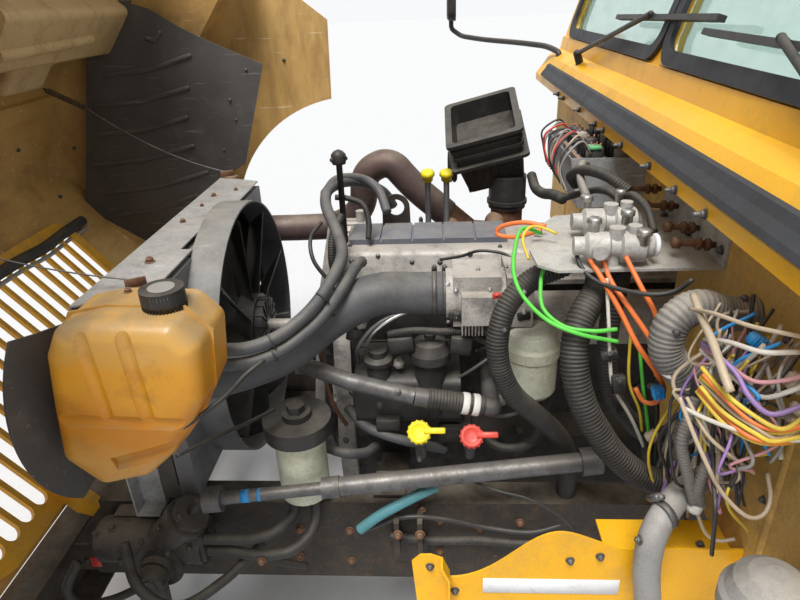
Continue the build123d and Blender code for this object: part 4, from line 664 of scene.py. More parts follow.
def wire(name, points, radius, slot, body=ROOT, sides=8):
    """Round wire, hose or pipe on a smooth line through its points."""
    build = Builder()
    build.tube(smooth_path(points), lambda i: radius, sides)
    return build.done(name, slot, body)


def seen(across, down):
    """Point, outward direction and body of the CAD surface at a place in the view."""
    camera = bpy.context.scene.camera.matrix_world.to_3x3()
    through = Vector((across - VIEW_WIDE / 2, VIEW_HIGH / 2 - down, -VIEW_WIDE * FOCAL_SHARE))
    aim = (camera @ through).normalized()
    start = CAMERA_AT.copy()
    depsgraph = bpy.context.evaluated_depsgraph_get()
    while True:
        hit, at, outward, _, obj, _ = bpy.context.scene.ray_cast(depsgraph, start, aim)
        if not hit:
            return None
        if obj.name in NODES:
            return at, outward, body_of(obj)[0]
        start = at + aim * 0.0005


def slack(points, amount, seed):
    """The same route with small random sags, so that no two wires lie alike."""
    chance = random.Random(seed)
    middle = [Vector(p) + Vector([chance.uniform(-amount, amount) for _ in range(3)]) for p in points[1:-1]]
    return [Vector(points[0])] + middle + [Vector(points[-1])]


def near(chance, place, low, high):
    """Random point that lies between low and high from a place, along each axis."""
    return Vector([c + chance.uniform(a, b) for c, a, b in zip(place, low, high)])


# Fasteners by their place in the view, which is 800 wide and 600 high: finish, then across, down and the
# head's size in millimetres
BOLTS = {
    "support_bolts": ("cast_rust", [
        (137, 285, 13), (150, 262, 17), (183, 222, 13), (214, 196, 13), (236, 190, 11), (128, 292, 11),
        (202, 206, 10)]),
    "engine_bolts": ("steel", [
        (352, 262, 10), (378, 256, 9), (440, 262, 10), (470, 254, 10), (500, 247, 9), (412, 262, 9),
        (350, 246, 9), (360, 348, 13), (395, 352, 12), (398, 392, 12), (380, 405, 12), (462, 338, 11),
        (478, 352, 11), (504, 330, 10), (470, 386, 13), (520, 430, 14), (420, 458, 13), (380, 462, 12),
        (346, 440, 12), (352, 392, 13), (500, 444, 12)]),
    "manifold_bolts": ("bright", [
        (456, 290, 9), (456, 316, 9), (490, 290, 8), (478, 270, 8), (506, 268, 9), (524, 292, 9),
        (524, 312, 9), (540, 290, 9), (448, 284, 8), (448, 322, 8)]),
    "frame_bolts": ("cast_rust", [
        (300, 528, 18), (300, 556, 18), (350, 530, 16), (352, 560, 16), (440, 520, 16), (440, 550, 16),
        (480, 528, 16), (520, 522, 16), (262, 560, 16), (398, 534, 17), (420, 534, 17), (398, 510, 13),
        (422, 510, 13)]),
    "gear_bolts": ("cast_dirty", [
        (112, 528, 15), (122, 560, 15), (96, 534, 13), (88, 560, 13), (168, 552, 15), (190, 548, 14),
        (160, 528, 14), (142, 542, 12), (178, 518, 14), (140, 578, 14)]),
    "firewall_bolts": ("steel", [
        (690, 232, 13), (722, 250, 13), (664, 216, 12), (744, 300, 11), (790, 340, 12), (700, 470, 11),
        (748, 440, 11), (788, 392, 11), (676, 332, 10), (760, 356, 10), (724, 440, 10), (780, 430, 10),
        (764, 500, 10)]),
    "hood_bolts": ("steel", [
        (60, 197, 12), (104, 120, 10), (230, 100, 10), (246, 70, 9), (224, 150, 9), (18, 150, 12),
        (74, 148, 11), (110, 178, 9), (236, 120, 8), (284, 60, 11), (300, 118, 11)]),
    "panel_bolts": ("steel", [
        (430, 566, 11), (600, 556, 11), (640, 540, 11), (700, 545, 11), (570, 560, 11), (455, 590, 11)]),
}
# Studs along the cowl's front by their place in the view, and unions of the air lines from end to end
STUDS = [(559, 94), (564, 98), (580, 110), (596, 124), (604, 130), (622, 145), (650, 166), (676, 190),
         (706, 214)]
UNIONS = [((0.546, 0.190, 0.842), (0.625, 0.196, 0.846)), ((0.546, 0.300, 0.836), (0.620, 0.304, 0.842)),
          ((0.546, 0.420, 0.830), (0.612, 0.424, 0.836)), ((0.546, 0.500, 0.826), (0.622, 0.500, 0.832))]


def add_bolts():
    """Hexagon bolts square on the surfaces seen at their places, one piece for each table and body."""
    for name, (slot, places) in BOLTS.items():
        builds = {}
        for across, down, size in places:
            spot = seen(across, down)
            if spot:
                at, outward, body = spot
                builds.setdefault(body, Builder()).bolt(at, outward, size / 1000.0)
        for body, build in builds.items():
            build.done(name + "_" + body, slot, body)


def add_studs():
    """Threaded studs with nuts along the cowl's front, and unions beside the air valves."""
    build = Builder()
    for across, down in STUDS:
        at, outward, _ = seen(across, down)
        build.revolve(at, outward, [(0, 0.0085), (0.0015, 0.0085), (0.0015, 0.0035), (0.018, 0.0035),
                                    (0.020, 0.002)], 12)
        build.revolve(at + outward * 0.002, outward, [(0, 0.0070), (0.006, 0.0070), (0.007, 0.006)], 6)
    build.done("cowl_studs", "steel")
    build = Builder()
    for start, end in UNIONS:
        a, b = Vector(start), Vector(end)
        axis = (b - a).normalized()
        build.revolve(a, axis, [(0, 0.0058), ((b - a).length, 0.0058)], 14)
        for along in (0.010, 0.026):
            build.revolve(a + axis * along, axis, [(0, 0.0115), (0.008, 0.0115), (0.009, 0.010)], 6)
        build.revolve(b - axis * 0.012, axis, [(0, 0.0105), (0.012, 0.0105), (0.014, 0.008)], 6)
    build.done("bulkhead_unions", "cast_rust")


# Conduits at the firewall, on runs and arcs: name, radius, finish and route
CONDUITS = [
    ("conduit_centre", 0.021, "rubber_black", [
        (0.782, 0.400, 0.7957), (0.782, 0.400, 0.752), (0.866, 0.412, 0.722), (0.916, 0.444, 0.676),
        (0.932, 0.462, 0.612), (0.926, 0.464, 0.545), (0.896, 0.456, 0.470), (0.835, 0.436, 0.400),
        (0.780, 0.412, 0.330), (0.742, 0.392, 0.250), (0.742, 0.392, 0.1303)]),
    ("conduit_long", 0.024, "rubber_black", [
        (0.752, 0.520, 0.7957), (0.752, 0.520, 0.750), (0.798, 0.568, 0.700), (0.804, 0.600, 0.625),
        (0.782, 0.618, 0.548), (0.716, 0.624, 0.440), (0.640, 0.620, 0.372), (0.5403, 0.620, 0.372)]),
    ("conduit_inner", 0.018, "rubber_black", [
        (0.700, 0.470, 0.7957), (0.700, 0.470, 0.740), (0.714, 0.484, 0.668), (0.716, 0.498, 0.584),
        (0.696, 0.504, 0.486), (0.622, 0.508, 0.400), (0.5403, 0.508, 0.400)]),
    ("conduit_loop", 0.026, "conduit_grey", [
        (0.5403, 0.672, 0.774), (0.590, 0.672, 0.774), (0.640, 0.678, 0.796), (0.680, 0.690, 0.772),
        (0.684, 0.692, 0.715), (0.630, 0.692, 0.655), (0.5403, 0.692, 0.655)]),
    ("conduit_low", 0.018, "conduit_grey", [
        (0.5403, 0.650, 0.590), (0.585, 0.650, 0.590), (0.616, 0.648, 0.540), (0.596, 0.646, 0.448),
        (0.5403, 0.646, 0.448)]),
    ("tube_hose", 0.0222, "rubber_black", [
        (1.080, 0.3908, 0.4143), (1.020, 0.3885, 0.4023), (0.948, 0.3857, 0.3876)]),
]
# Thin corrugated sleeves, on smooth lines: name, radius, finish and route
SLEEVES = [
    ("sleeve_turquoise", 0.013, "hose_turquoise", [
        (1.060, 0.462, 0.214), (1.100, 0.474, 0.200), (1.150, 0.478, 0.170), (1.200, 0.482, 0.138),
        (1.250, 0.484, 0.094)]),
    ("sleeve_engine", 0.009, "rubber_black", [
        (1.170, 0.318, 0.545), (1.110, 0.330, 0.560), (1.050, 0.328, 0.556), (0.990, 0.318, 0.548),
        (0.940, 0.318, 0.520)]),
    ("sleeve_front", 0.010, "rubber_black", [
        (1.300, 0.215, 0.640), (1.304, 0.222, 0.700), (1.300, 0.200, 0.750), (1.285, 0.150, 0.782)]),
    ("sleeve_small", 0.009, "conduit_grey", [
        (0.669, 0.800, 0.700), (0.681, 0.812, 0.664), (0.686, 0.820, 0.629), (0.670, 0.820, 0.576),
        (0.643, 0.812, 0.500)]),
    ("sleeve_valves", 0.012, "rubber_black", [
        (0.660, 0.330, 0.880), (0.700, 0.300, 0.905), (0.730, 0.230, 0.900), (0.742, 0.160, 0.870),
        (0.720, 0.110, 0.835)]),
    ("sleeve_relays", 0.014, "rubber_black", [
        (0.780, -0.190, 0.780), (0.776, -0.130, 0.760), (0.770, -0.040, 0.770), (0.760, 0.040, 0.790),
        (0.748, 0.110, 0.800)]),
    ("sleeve_deep", 0.012, "rubber_black", [
        (0.640, 0.560, 0.560), (0.628, 0.560, 0.480), (0.632, 0.570, 0.400), (0.612, 0.590, 0.330),
        (0.5480, 0.600, 0.290)]),
    ("sleeve_rail", 0.011, "rubber_black", [
        (1.180, 0.452, 0.040), (1.080, 0.456, 0.030), (0.960, 0.458, 0.034), (0.860, 0.456, 0.024),
        (0.760, 0.452, 0.030)]),
    ("sleeve_fender", 0.010, "conduit_grey", [
        (0.548, 0.800, 0.640), (0.590, 0.808, 0.632), (0.634, 0.816, 0.600), (0.648, 0.820, 0.548),
        (0.634, 0.812, 0.500)]),
]
CONDUIT_PITCH, CONDUIT_DEPTH, CONDUIT_LIFT = 0.0072, 0.0022, 0.0004
SLEEVE_PITCH, SLEEVE_DEPTH = 0.0056, 0.0014
RIB = (0.0, 0.75, 1.0, 0.75)


def ribbed(name, path, slot, low, depth, sides):
    """Convoluted tube with four points to each rib: low is its radius between ribs."""
    build = Builder()
    build.tube(path, lambda i: low + depth * RIB[i % 4], sides)
    build.done(name, slot)


def add_conduits():
    for name, radius, slot, route in CONDUITS:
        ribbed(name, arc_path(route, CONDUIT_PITCH / 4), slot, radius + CONDUIT_LIFT, CONDUIT_DEPTH, 22)
    for name, radius, slot, route in SLEEVES:
        ribbed(name, smooth_path(route, SLEEVE_PITCH / 4), slot, radius - SLEEVE_DEPTH, SLEEVE_DEPTH, 16)


# Wires: name, radius, finish and route
WIRES = [
    ("green_a", 0.0040, "wire_green", [
        (0.844, 0.400, 0.8185), (0.883, 0.420, 0.837), (0.907, 0.480, 0.815), (0.909, 0.530, 0.785),
        (0.895, 0.560, 0.755), (0.857, 0.590, 0.722), (0.804, 0.612, 0.704), (0.733, 0.610, 0.688)]),
    ("green_b", 0.0040, "wire_green", [
        (0.830, 0.470, 0.785), (0.852, 0.490, 0.781), (0.861, 0.520, 0.760), (0.858, 0.560, 0.733),
        (0.829, 0.592, 0.712), (0.777, 0.612, 0.710), (0.736, 0.606, 0.711)]),
    ("yellow_a", 0.0030, "wire_yellow", [
        (0.816, 0.420, 0.824), (0.847, 0.410, 0.839), (0.874, 0.420, 0.837), (0.886, 0.450, 0.824),
        (0.880, 0.490, 0.800)]),
    ("orange_hook", 0.0048, "wire_orange", [
        (0.841, 0.380, 0.818), (0.889, 0.350, 0.794), (0.923, 0.330, 0.795), (0.919, 0.330, 0.812),
        (0.874, 0.350, 0.826), (0.830, 0.370, 0.822)]),
    ("orange_1", 0.0048, "wire_orange", [
        (0.780, 0.530, 0.820), (0.761, 0.570, 0.790), (0.732, 0.600, 0.740), (0.699, 0.620, 0.685),
        (0.664, 0.625, 0.633), (0.643, 0.620, 0.590), (0.649, 0.610, 0.556), (0.666, 0.600, 0.553),
        (0.683, 0.590, 0.576)]),
    ("orange_2", 0.0048, "wire_orange", [
        (0.755, 0.520, 0.820), (0.741, 0.560, 0.780), (0.708, 0.600, 0.738), (0.679, 0.622, 0.685),
        (0.660, 0.622, 0.624)]),
    ("orange_3", 0.0045, "wire_orange", [
        (0.719, 0.550, 0.826), (0.697, 0.590, 0.785), (0.678, 0.610, 0.745), (0.658, 0.612, 0.695),
        (0.650, 0.606, 0.650)]),
    ("black_arc", 0.0042, "wire_black", [
        (0.799, 0.500, 0.828), (0.792, 0.540, 0.800), (0.764, 0.570, 0.785), (0.710, 0.620, 0.790),
        (0.664, 0.640, 0.800), (0.640, 0.650, 0.826)]),
    ("white_a", 0.0035, "wire_white", [
        (0.751, 0.560, 0.790), (0.748, 0.596, 0.700), (0.738, 0.604, 0.640), (0.722, 0.600, 0.580),
        (0.675, 0.580, 0.491), (0.621, 0.560, 0.373), (0.590, 0.560, 0.300)]),
    ("green_c", 0.0035, "wire_green", [
        (0.683, 0.580, 0.660), (0.669, 0.590, 0.580), (0.641, 0.580, 0.479), (0.614, 0.560, 0.360),
        (0.600, 0.560, 0.290)]),
    ("yellow_b", 0.0030, "wire_yellow", [
        (0.705, 0.585, 0.700), (0.696, 0.590, 0.592), (0.669, 0.580, 0.520), (0.650, 0.570, 0.460)]),
    ("black_b", 0.0042, "wire_black", [
        (0.656, 0.610, 0.640), (0.643, 0.600, 0.548), (0.625, 0.590, 0.437), (0.609, 0.570, 0.315)]),
    ("purple", 0.0035, "wire_purple", [
        (0.677, 0.800, 0.795), (0.675, 0.850, 0.802), (0.664, 0.880, 0.794), (0.653, 0.900, 0.772),
        (0.631, 0.920, 0.759), (0.604, 0.925, 0.776), (0.577, 0.920, 0.787)]),
    ("pink", 0.0030, "wire_pink", [
        (0.676, 0.800, 0.789), (0.660, 0.850, 0.788), (0.641, 0.890, 0.790), (0.617, 0.910, 0.802),
        (0.587, 0.920, 0.825)]),
    ("white_b", 0.0035, "wire_white", [
        (0.677, 0.800, 0.784), (0.655, 0.850, 0.771), (0.628, 0.890, 0.766), (0.613, 0.910, 0.787),
        (0.589, 0.920, 0.811)]),
    ("white_c", 0.0035, "wire_white", [
        (0.674, 0.800, 0.800), (0.662, 0.850, 0.822), (0.646, 0.890, 0.838), (0.603, 0.900, 0.839)]),
    ("tape_tube", 0.0060, "wire_tan", [
        (0.674, 0.740, 0.841), (0.681, 0.790, 0.833), (0.681, 0.840, 0.816), (0.681, 0.880, 0.798),
        (0.676, 0.900, 0.780)]),
    ("tan_thin", 0.0030, "wire_tan", [
        (0.684, 0.760, 0.829), (0.680, 0.820, 0.851), (0.660, 0.870, 0.861), (0.637, 0.900, 0.870),
        (0.596, 0.910, 0.863)]),
    ("white_long", 0.0032, "wire_white", [
        (0.706, 0.840, 0.713), (0.685, 0.870, 0.716), (0.661, 0.900, 0.720), (0.633, 0.915, 0.722),
        (0.603, 0.930, 0.728), (0.573, 0.935, 0.732)]),
    ("tan_loop", 0.0032, "wire_tan", [
        (0.712, 0.840, 0.730), (0.699, 0.860, 0.698), (0.683, 0.880, 0.657), (0.657, 0.900, 0.611),
        (0.621, 0.910, 0.576), (0.596, 0.905, 0.573), (0.579, 0.890, 0.591), (0.582, 0.870, 0.620)]),
    ("tan_b", 0.0028, "wire_tan", [
        (0.702, 0.840, 0.730), (0.676, 0.870, 0.687), (0.642, 0.885, 0.659), (0.606, 0.880, 0.627)]),
    ("tan_tail", 0.0030, "wire_tan", [
        (0.643, 0.812, 0.500), (0.626, 0.822, 0.454), (0.604, 0.830, 0.438), (0.580, 0.836, 0.452)]),
    ("thin_cable", 0.0030, "wire_black", [
        (0.981, 0.462, 0.230), (0.916, 0.480, 0.217), (0.850, 0.490, 0.204), (0.782, 0.500, 0.163),
        (0.740, 0.490, 0.110)]),
    ("overflow_hose", 0.0045, "wire_black", [
        (1.394, 0.560, 0.625), (1.422, 0.590, 0.609), (1.456, 0.640, 0.595), (1.506, 0.690, 0.572),
        (1.536, 0.700, 0.560)]),
    ("cover_cable", 0.0040, "wire_black", [
        (1.046, 0.150, 0.662), (0.992, 0.170, 0.682), (0.949, 0.190, 0.698), (0.902, 0.200, 0.700),
        (0.877, 0.220, 0.690)]),
    ("left_loop", 0.0050, "wire_black", [
        (1.336, 0.150, 0.765), (1.355, 0.200, 0.744), (1.346, 0.240, 0.702), (1.310, 0.250, 0.650),
        (1.290, 0.240, 0.600)]),
    ("tank_cable", 0.0042, "wire_black", [
        (1.420, 0.470, 0.440), (1.455, 0.560, 0.470), (1.500, 0.660, 0.500), (1.530, 0.720, 0.520)]),
    ("rail_cable", 0.0060, "wire_black", [
        (1.240, 0.462, 0.070), (1.140, 0.470, 0.120), (1.040, 0.468, 0.108), (0.940, 0.462, 0.078),
        (0.840, 0.464, 0.072), (0.760, 0.460, 0.090)]),
    ("fender_cable", 0.0050, "wire_black", [
        (0.560, 0.560, 0.180), (0.640, 0.570, 0.190), (0.700, 0.640, 0.220), (0.720, 0.740, 0.280),
        (0.700, 0.790, 0.320)]),
]
# Hoses and thin metal lines: name, radius, finish and route
PIPES = [
    ("fuel_line_a", 0.0045, "bright", [
        (1.230, 0.300, 0.500), (1.200, 0.330, 0.560), (1.140, 0.318, 0.596), (1.060, 0.280, 0.600),
        (1.000, 0.262, 0.586)]),
    ("fuel_line_b", 0.0045, "steel", [
        (1.250, 0.290, 0.450), (1.240, 0.330, 0.520), (1.190, 0.330, 0.580), (1.110, 0.302, 0.604),
        (1.020, 0.262, 0.610)]),
    ("fuel_line_c", 0.0040, "steel", [
        (1.020, 0.300, 0.400), (0.980, 0.318, 0.440), (0.930, 0.318, 0.480), (0.880, 0.290, 0.500),
        (0.850, 0.262, 0.540)]),
    ("fuel_line_d", 0.0040, "bright", [
        (1.280, 0.210, 0.360), (1.230, 0.262, 0.340), (1.150, 0.300, 0.330), (1.060, 0.318, 0.350),
        (0.980, 0.310, 0.360)]),
    ("fuel_line_e", 0.0050, "steel", [
        (1.000, 0.262, 0.330), (0.930, 0.300, 0.300), (0.860, 0.318, 0.320), (0.800, 0.300, 0.380),
        (0.760, 0.262, 0.420)]),
    ("drain_line", 0.0055, "cast_rust", [
        (1.360, 0.262, 0.560), (1.340, 0.300, 0.500), (1.330, 0.318, 0.420), (1.320, 0.300, 0.330),
        (1.300, 0.262, 0.240)]),
    ("hose_low_a", 0.0130, "hose_grey", [
        (1.290, 0.270, 0.300), (1.240, 0.320, 0.280), (1.170, 0.340, 0.260), (1.100, 0.330, 0.230),
        (1.040, 0.300, 0.190)]),
    ("hose_low_b", 0.0110, "rubber_black", [
        (0.960, 0.300, 0.250), (0.900, 0.340, 0.230), (0.830, 0.340, 0.240), (0.780, 0.300, 0.280)]),
    ("hose_rear", 0.0120, "rubber_black", [
        (0.820, 0.300, 0.440), (0.800, 0.350, 0.380), (0.810, 0.352, 0.300), (0.840, 0.330, 0.230),
        (0.860, 0.300, 0.180)]),
    ("hose_front", 0.0125, "hose_grey", [
        (1.350, 0.330, 0.240), (1.330, 0.380, 0.260), (1.280, 0.390, 0.250), (1.240, 0.350, 0.220),
        (1.220, 0.300, 0.200)]),
    ("dusty_hose", 0.0130, "hose_grey", [
        (1.340, 0.040, 0.806), (1.320, -0.060, 0.816), (1.262, -0.120, 0.800), (1.216, -0.110, 0.770),
        (1.190, -0.060, 0.720)]),
    ("cover_hose_a", 0.0075, "rubber_black", [
        (1.318, 0.020, 0.790), (1.284, 0.020, 0.786), (1.244, 0.030, 0.770), (1.230, 0.050, 0.730),
        (1.232, 0.070, 0.690)]),
    ("cover_hose_b", 0.0075, "rubber_black", [
        (1.316, 0.100, 0.775), (1.296, 0.110, 0.740), (1.290, 0.120, 0.700), (1.298, 0.130, 0.660),
        (1.300, 0.160, 0.600)]),
    ("valve_hose_a", 0.0080, "rubber_black", [
        (0.660, 0.300, 0.842), (0.672, 0.250, 0.852), (0.690, 0.200, 0.846), (0.720, 0.160, 0.826),
        (0.760, 0.120, 0.800)]),
    ("valve_hose_b", 0.0080, "rubber_black", [
        (0.644, 0.460, 0.838), (0.650, 0.420, 0.872), (0.660, 0.360, 0.880), (0.668, 0.320, 0.862)]),
    ("valve_hose_c", 0.0090, "conduit_grey", [
        (0.700, 0.120, 0.884), (0.724, 0.180, 0.900), (0.736, 0.230, 0.880), (0.730, 0.280, 0.850)]),
    ("brake_hose", 0.0090, "rubber_black", [
        (1.640, 0.470, 0.080), (1.560, 0.500, 0.020), (1.480, 0.480, -0.020), (1.400, 0.462, -0.060)]),
    ("steering_loop", 0.0125, "rubber_black", [
        (1.800, 0.560, 0.120), (1.740, 0.640, 0.070), (1.660, 0.640, 0.010), (1.580, 0.560, 0.000),
        (1.500, 0.470, 0.030)]),
    ("bumper_loop", 0.0110, "rubber_black", [
        (1.930, 0.560, 0.060), (1.950, 0.600, 0.010), (1.930, 0.600, -0.040), (1.880, 0.560, -0.075),
        (1.830, 0.510, -0.090)]),
]
# Route of the middle strand of the yellow bundle, and the strands' colours in turn
BUNDLE = [(0.690, 0.840, 0.760), (0.668, 0.880, 0.744), (0.643, 0.910, 0.731), (0.618, 0.925, 0.730),
          (0.590, 0.925, 0.742)]
BUNDLE_COLOURS = ("wire_yellow", "wire_orange", "wire_yellow", "wire_tan")
TANGLE_COLOURS = (
    "wire_tan", "wire_black", "wire_grey", "wire_white", "wire_purple", "wire_black", "wire_tan",
    "wire_yellow", "wire_black", "wire_grey", "wire_pink", "wire_blue")
FIREWALL_FACE = 0.548


def add_wires():
    """Wires and lines on their own routes, and the bundle of seven strands."""
    for number, (name, radius, slot, route) in enumerate(WIRES):
        wire("wire_" + name, slack(route, 0.003, number), radius, slot)
    for name, radius, slot, route in PIPES:
        wire("line_" + name, route, radius, slot, sides=12)
    for number in range(7):
        shift = Vector((0.0, 0.004 * (number % 3), 0.0065 * (number - 3)))
        route = slack([Vector(p) + shift for p in BUNDLE], 0.006, 40 + number)
        wire("strand_%d" % number, route, 0.0032, BUNDLE_COLOURS[number % 4])


def add_tangle():
    """Loose harness wires that loop in front of the firewall beside the open duct, and drops below them."""
    chance = random.Random(21)
    for number in range(46):
        top = near(chance, (0.560, 0.720, 0.800), (0, 0, -0.05), (0.09, 0.16, 0.035))
        low = near(chance, (0.566, 0.740, 0.600), (0, 0, -0.12), (0.10, 0.17, 0.09))
        route = [top]
        for share in (0.25, 0.5, 0.75):
            stray = near(chance, (0, 0, 0), (-0.006, -0.03, -0.03), (0.055, 0.045, 0.03))
            route.append(top.lerp(low, share) + stray)
        route.append(low)
        route = [Vector((max(p.x, FIREWALL_FACE), p.y, p.z)) for p in route]
        wire("tangle_%02d" % number, route, chance.uniform(0.0018, 0.0034), TANGLE_COLOURS[number % 12],
             sides=6)
    for number in range(16):
        start = near(chance, (0.560, 0.600, 0.600), (0, 0, -0.1), (0.05, 0.09, 0.1))
        end = start + near(chance, (0, 0, -0.22), (0.0, -0.02, -0.06), (0.04, 0.04, 0.06))
        middle = start.lerp(end, 0.5) + Vector((chance.uniform(0.0, 0.05), chance.uniform(-0.03, 0.03), 0.0))
        wire("drop_wire_%02d" % number, [start, middle, end], chance.uniform(0.0022, 0.0036),
             TANGLE_COLOURS[(5 * number) % 12], sides=6)


# Plugs and sockets: finish, place, size and turn in degrees
PLUGS = [
    ("black_plastic", (0.742, 0.600, 0.655), (0.030, 0.018, 0.020), 20),
    ("black_plastic", (0.722, 0.612, 0.600), (0.024, 0.016, 0.034), 8),
    ("wire_tan", (0.640, 0.600, 0.470), (0.026, 0.016, 0.018), 35),
    ("wire_blue", (0.600, 0.800, 0.796), (0.030, 0.016, 0.016), -30),
    ("wire_blue", (0.660, 0.640, 0.600), (0.022, 0.014, 0.024), 15),
    ("black_plastic", (0.700, 0.560, 0.520), (0.020, 0.018, 0.034), 5),
    ("wire_grey", (0.610, 0.860, 0.700), (0.034, 0.018, 0.022), -20),
    ("wire_tan", (0.590, 0.900, 0.790), (0.040, 0.020, 0.020), -25),
    ("wire_grey", (0.640, 0.820, 0.760), (0.036, 0.018, 0.024), 10),
    ("black_plastic", (0.655, 0.780, 0.700), (0.026, 0.018, 0.034), 0),
    ("wire_red", (0.925, 0.372, 0.668), (0.020, 0.010, 0.012), 12),
    ("black_plastic", (0.860, 0.330, 0.600), (0.030, 0.024, 0.022), 10),
    ("black_plastic", (1.010, 0.330, 0.600), (0.036, 0.022, 0.024), -8),
    ("black_plastic", (0.900, 0.345, 0.470), (0.026, 0.022, 0.034), 0),
]
# Tape wraps, cable ties and hose clamps: place, axis and radius
WRAPS = [((0.668, 0.700, 0.690), (0.35, 0.1, -1), 0.015), ((0.640, 0.812, 0.505), (0.2, 0, -1), 0.0115),
         ((0.984, 0.387, 0.395), (0.95, 0.03, 0.2), 0.0255),
         ((0.960, 0.386, 0.390), (0.95, 0.03, 0.2), 0.0255)]
TIES = [((1.400, 0.478, 0.620), (0.9, 0.4, -0.3), 0.0152), ((1.400, 0.476, 0.588), (0.9, 0.4, -0.3), 0.0152),
        ((1.302, 0.392, 0.676), (0.45, 0.6, -0.5), 0.0152), ((1.292, 0.386, 0.642), (0.5, 0.5, -0.5), 0.0152)]
CLAMPS = [
    ((1.660, 0.493, 0.530), AHEAD, 0.0503), ((1.036, 0.280, 0.632), AHEAD, 0.0503),
    ((1.060, 0.280, 0.632), AHEAD, 0.0503), ((1.105, -0.300, 0.560), AHEAD, 0.0463),
    ((0.990, -0.476, 0.742), AHEAD, 0.0463), ((1.562, 0.530, 0.626), (0, 1, 0), 0.0143),
    ((1.582, 0.536, 0.594), (0, 1, 0), 0.0143), ((0.690, 0.819, 0.486), (0.87, 0.43, -0.2), 0.0225),
    ((0.570, 0.740, 0.492), AHEAD, 0.0223),
]


def add_connectors():
    """Plugs and sockets on the loose wires, each with a ribbed grip and a latch, and tape and ties."""
    for number, (slot, at, size, degrees) in enumerate(PLUGS):
        turn, (long, wide, high) = spin(degrees, "Y"), size
        build = Builder()
        build.box(at, size, turn, 0.002)
        for step in (-0.3, -0.1, 0.1, 0.3):
            rib = Vector(at) + turn @ Vector((long * step, 0, 0))
            build.box(rib, (long * 0.06, wide + 0.003, high + 0.003), turn, 0.0005)
        latch = Vector(at) + turn @ Vector((0, wide * 0.5, high * 0.25))
        build.box(latch, (long * 0.35, 0.006, high * 0.3), turn, 0.001)
        build.done("plug_%02d" % number, slot)
    tape, ties = Builder(), Builder()
    for at, axis, radius in WRAPS:
        thick = radius * 1.03
        tape.revolve(at, axis, [(0, radius), (0.004, thick), (0.012, thick), (0.016, radius)], 20)
    for at, axis, radius in TIES:
        ties.sleeve(Vector(at) - Vector(axis).normalized() * 0.002, axis, radius, 0.0022, 0.004, 24)
    tape.done("tape_wraps", "tape_white")
    ties.done("cable_ties", "black_plastic")


def add_flap():
    """Torn flap of insulation that hangs beside the wires."""
    build = Builder()
    rows, cols = 10, 12
    for i in range(rows + 1):
        for j in range(cols + 1):
            u, v = i / rows, j / cols
            x = 0.600 - 0.045 * v + 0.006 * math.sin(9 * u + 5 * v)
            y = 0.905 + 0.020 * math.sin(6 * v + 3 * u)
            z = 0.770 - 0.050 * u * (0.6 + 0.4 * v) + 0.004 * math.sin(14 * v)
            build.points.append(Vector((x, y, z)))
            if i < rows and j < cols:
                a = i * (cols + 1) + j
                build.faces.append((a, a + 1, a + cols + 2, a + cols + 1))
    flap = build.done("insulation_flap", "wire_tan")
    flap.modifiers.new("thickness", "SOLIDIFY").thickness = 0.0014


def add_clamps():
    build = Builder()
    for at, axis, radius in CLAMPS:
        build.clamp(at, axis, radius)
    build.done("hose_clamps", "steel")


def add_caps():
    """Coloured caps of the oil dipstick and filler, each with ribs and a pull tab."""
    axis = Vector((0, 0.020, 0.018)).normalized()
    _, u, v = axes_along(axis)
    profile = [(0, 0.018), (0.002, 0.027), (0.012, 0.0275), (0.018, 0.025), (0.020, 0.020), (0.017, 0.018),
               (0.017, 0.006)]
    across = axis.cross(Vector(AHEAD))
    turn = Matrix((Vector(AHEAD), across, axis)).transposed()
    for colour, end in (("yellow", (1.100, 0.398, 0.318)), ("red", (0.978, 0.398, 0.306))):
        build = Builder()
        end = Vector(end)
        build.revolve(end + axis * 0.024, axis, profile, 28)
        for i in range(14):
            a = 2 * math.pi * i / 14
            rib = end + axis * 0.026 + (u * math.cos(a) + v * math.sin(a)) * 0.027
            build.revolve(rib, axis, [(0, 0.0022), (0.012, 0.0022)], 6)
        build.box(end + axis * 0.040 + Vector((-0.036, 0, 0.004)), (0.050, 0.014, 0.008), turn, 0.003)
        build.done("cap_oil_" + colour, "cap_" + colour)


def add_tank_cap():
    """Ribs round the coolant tank's cap, and the flat disc on it."""
    centre, rib_ring, ribs = Vector((1.538, 0.620, 0.0)), 0.0372, 40
    build = Builder()
    for i in range(ribs):
        a = 2 * math.pi * i / ribs
        foot = centre + Vector((math.cos(a) * rib_ring, math.sin(a) * rib_ring, 0.772))
        build.revolve(foot, UP, [(0, 0.0020), (0.034, 0.0020)], 6)
    build.done("tank_cap_ribs", "black_plastic")
    build = Builder()
    top = centre + Vector((0, 0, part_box("reservoir_caps")[1].z))
    build.revolve(top, UP, [(0, 0.024), (0.0012, 0.024), (0.0016, 0.022), (0.0012, 0.010)], 28)
    build.done("tank_cap_disc", "wire_grey")


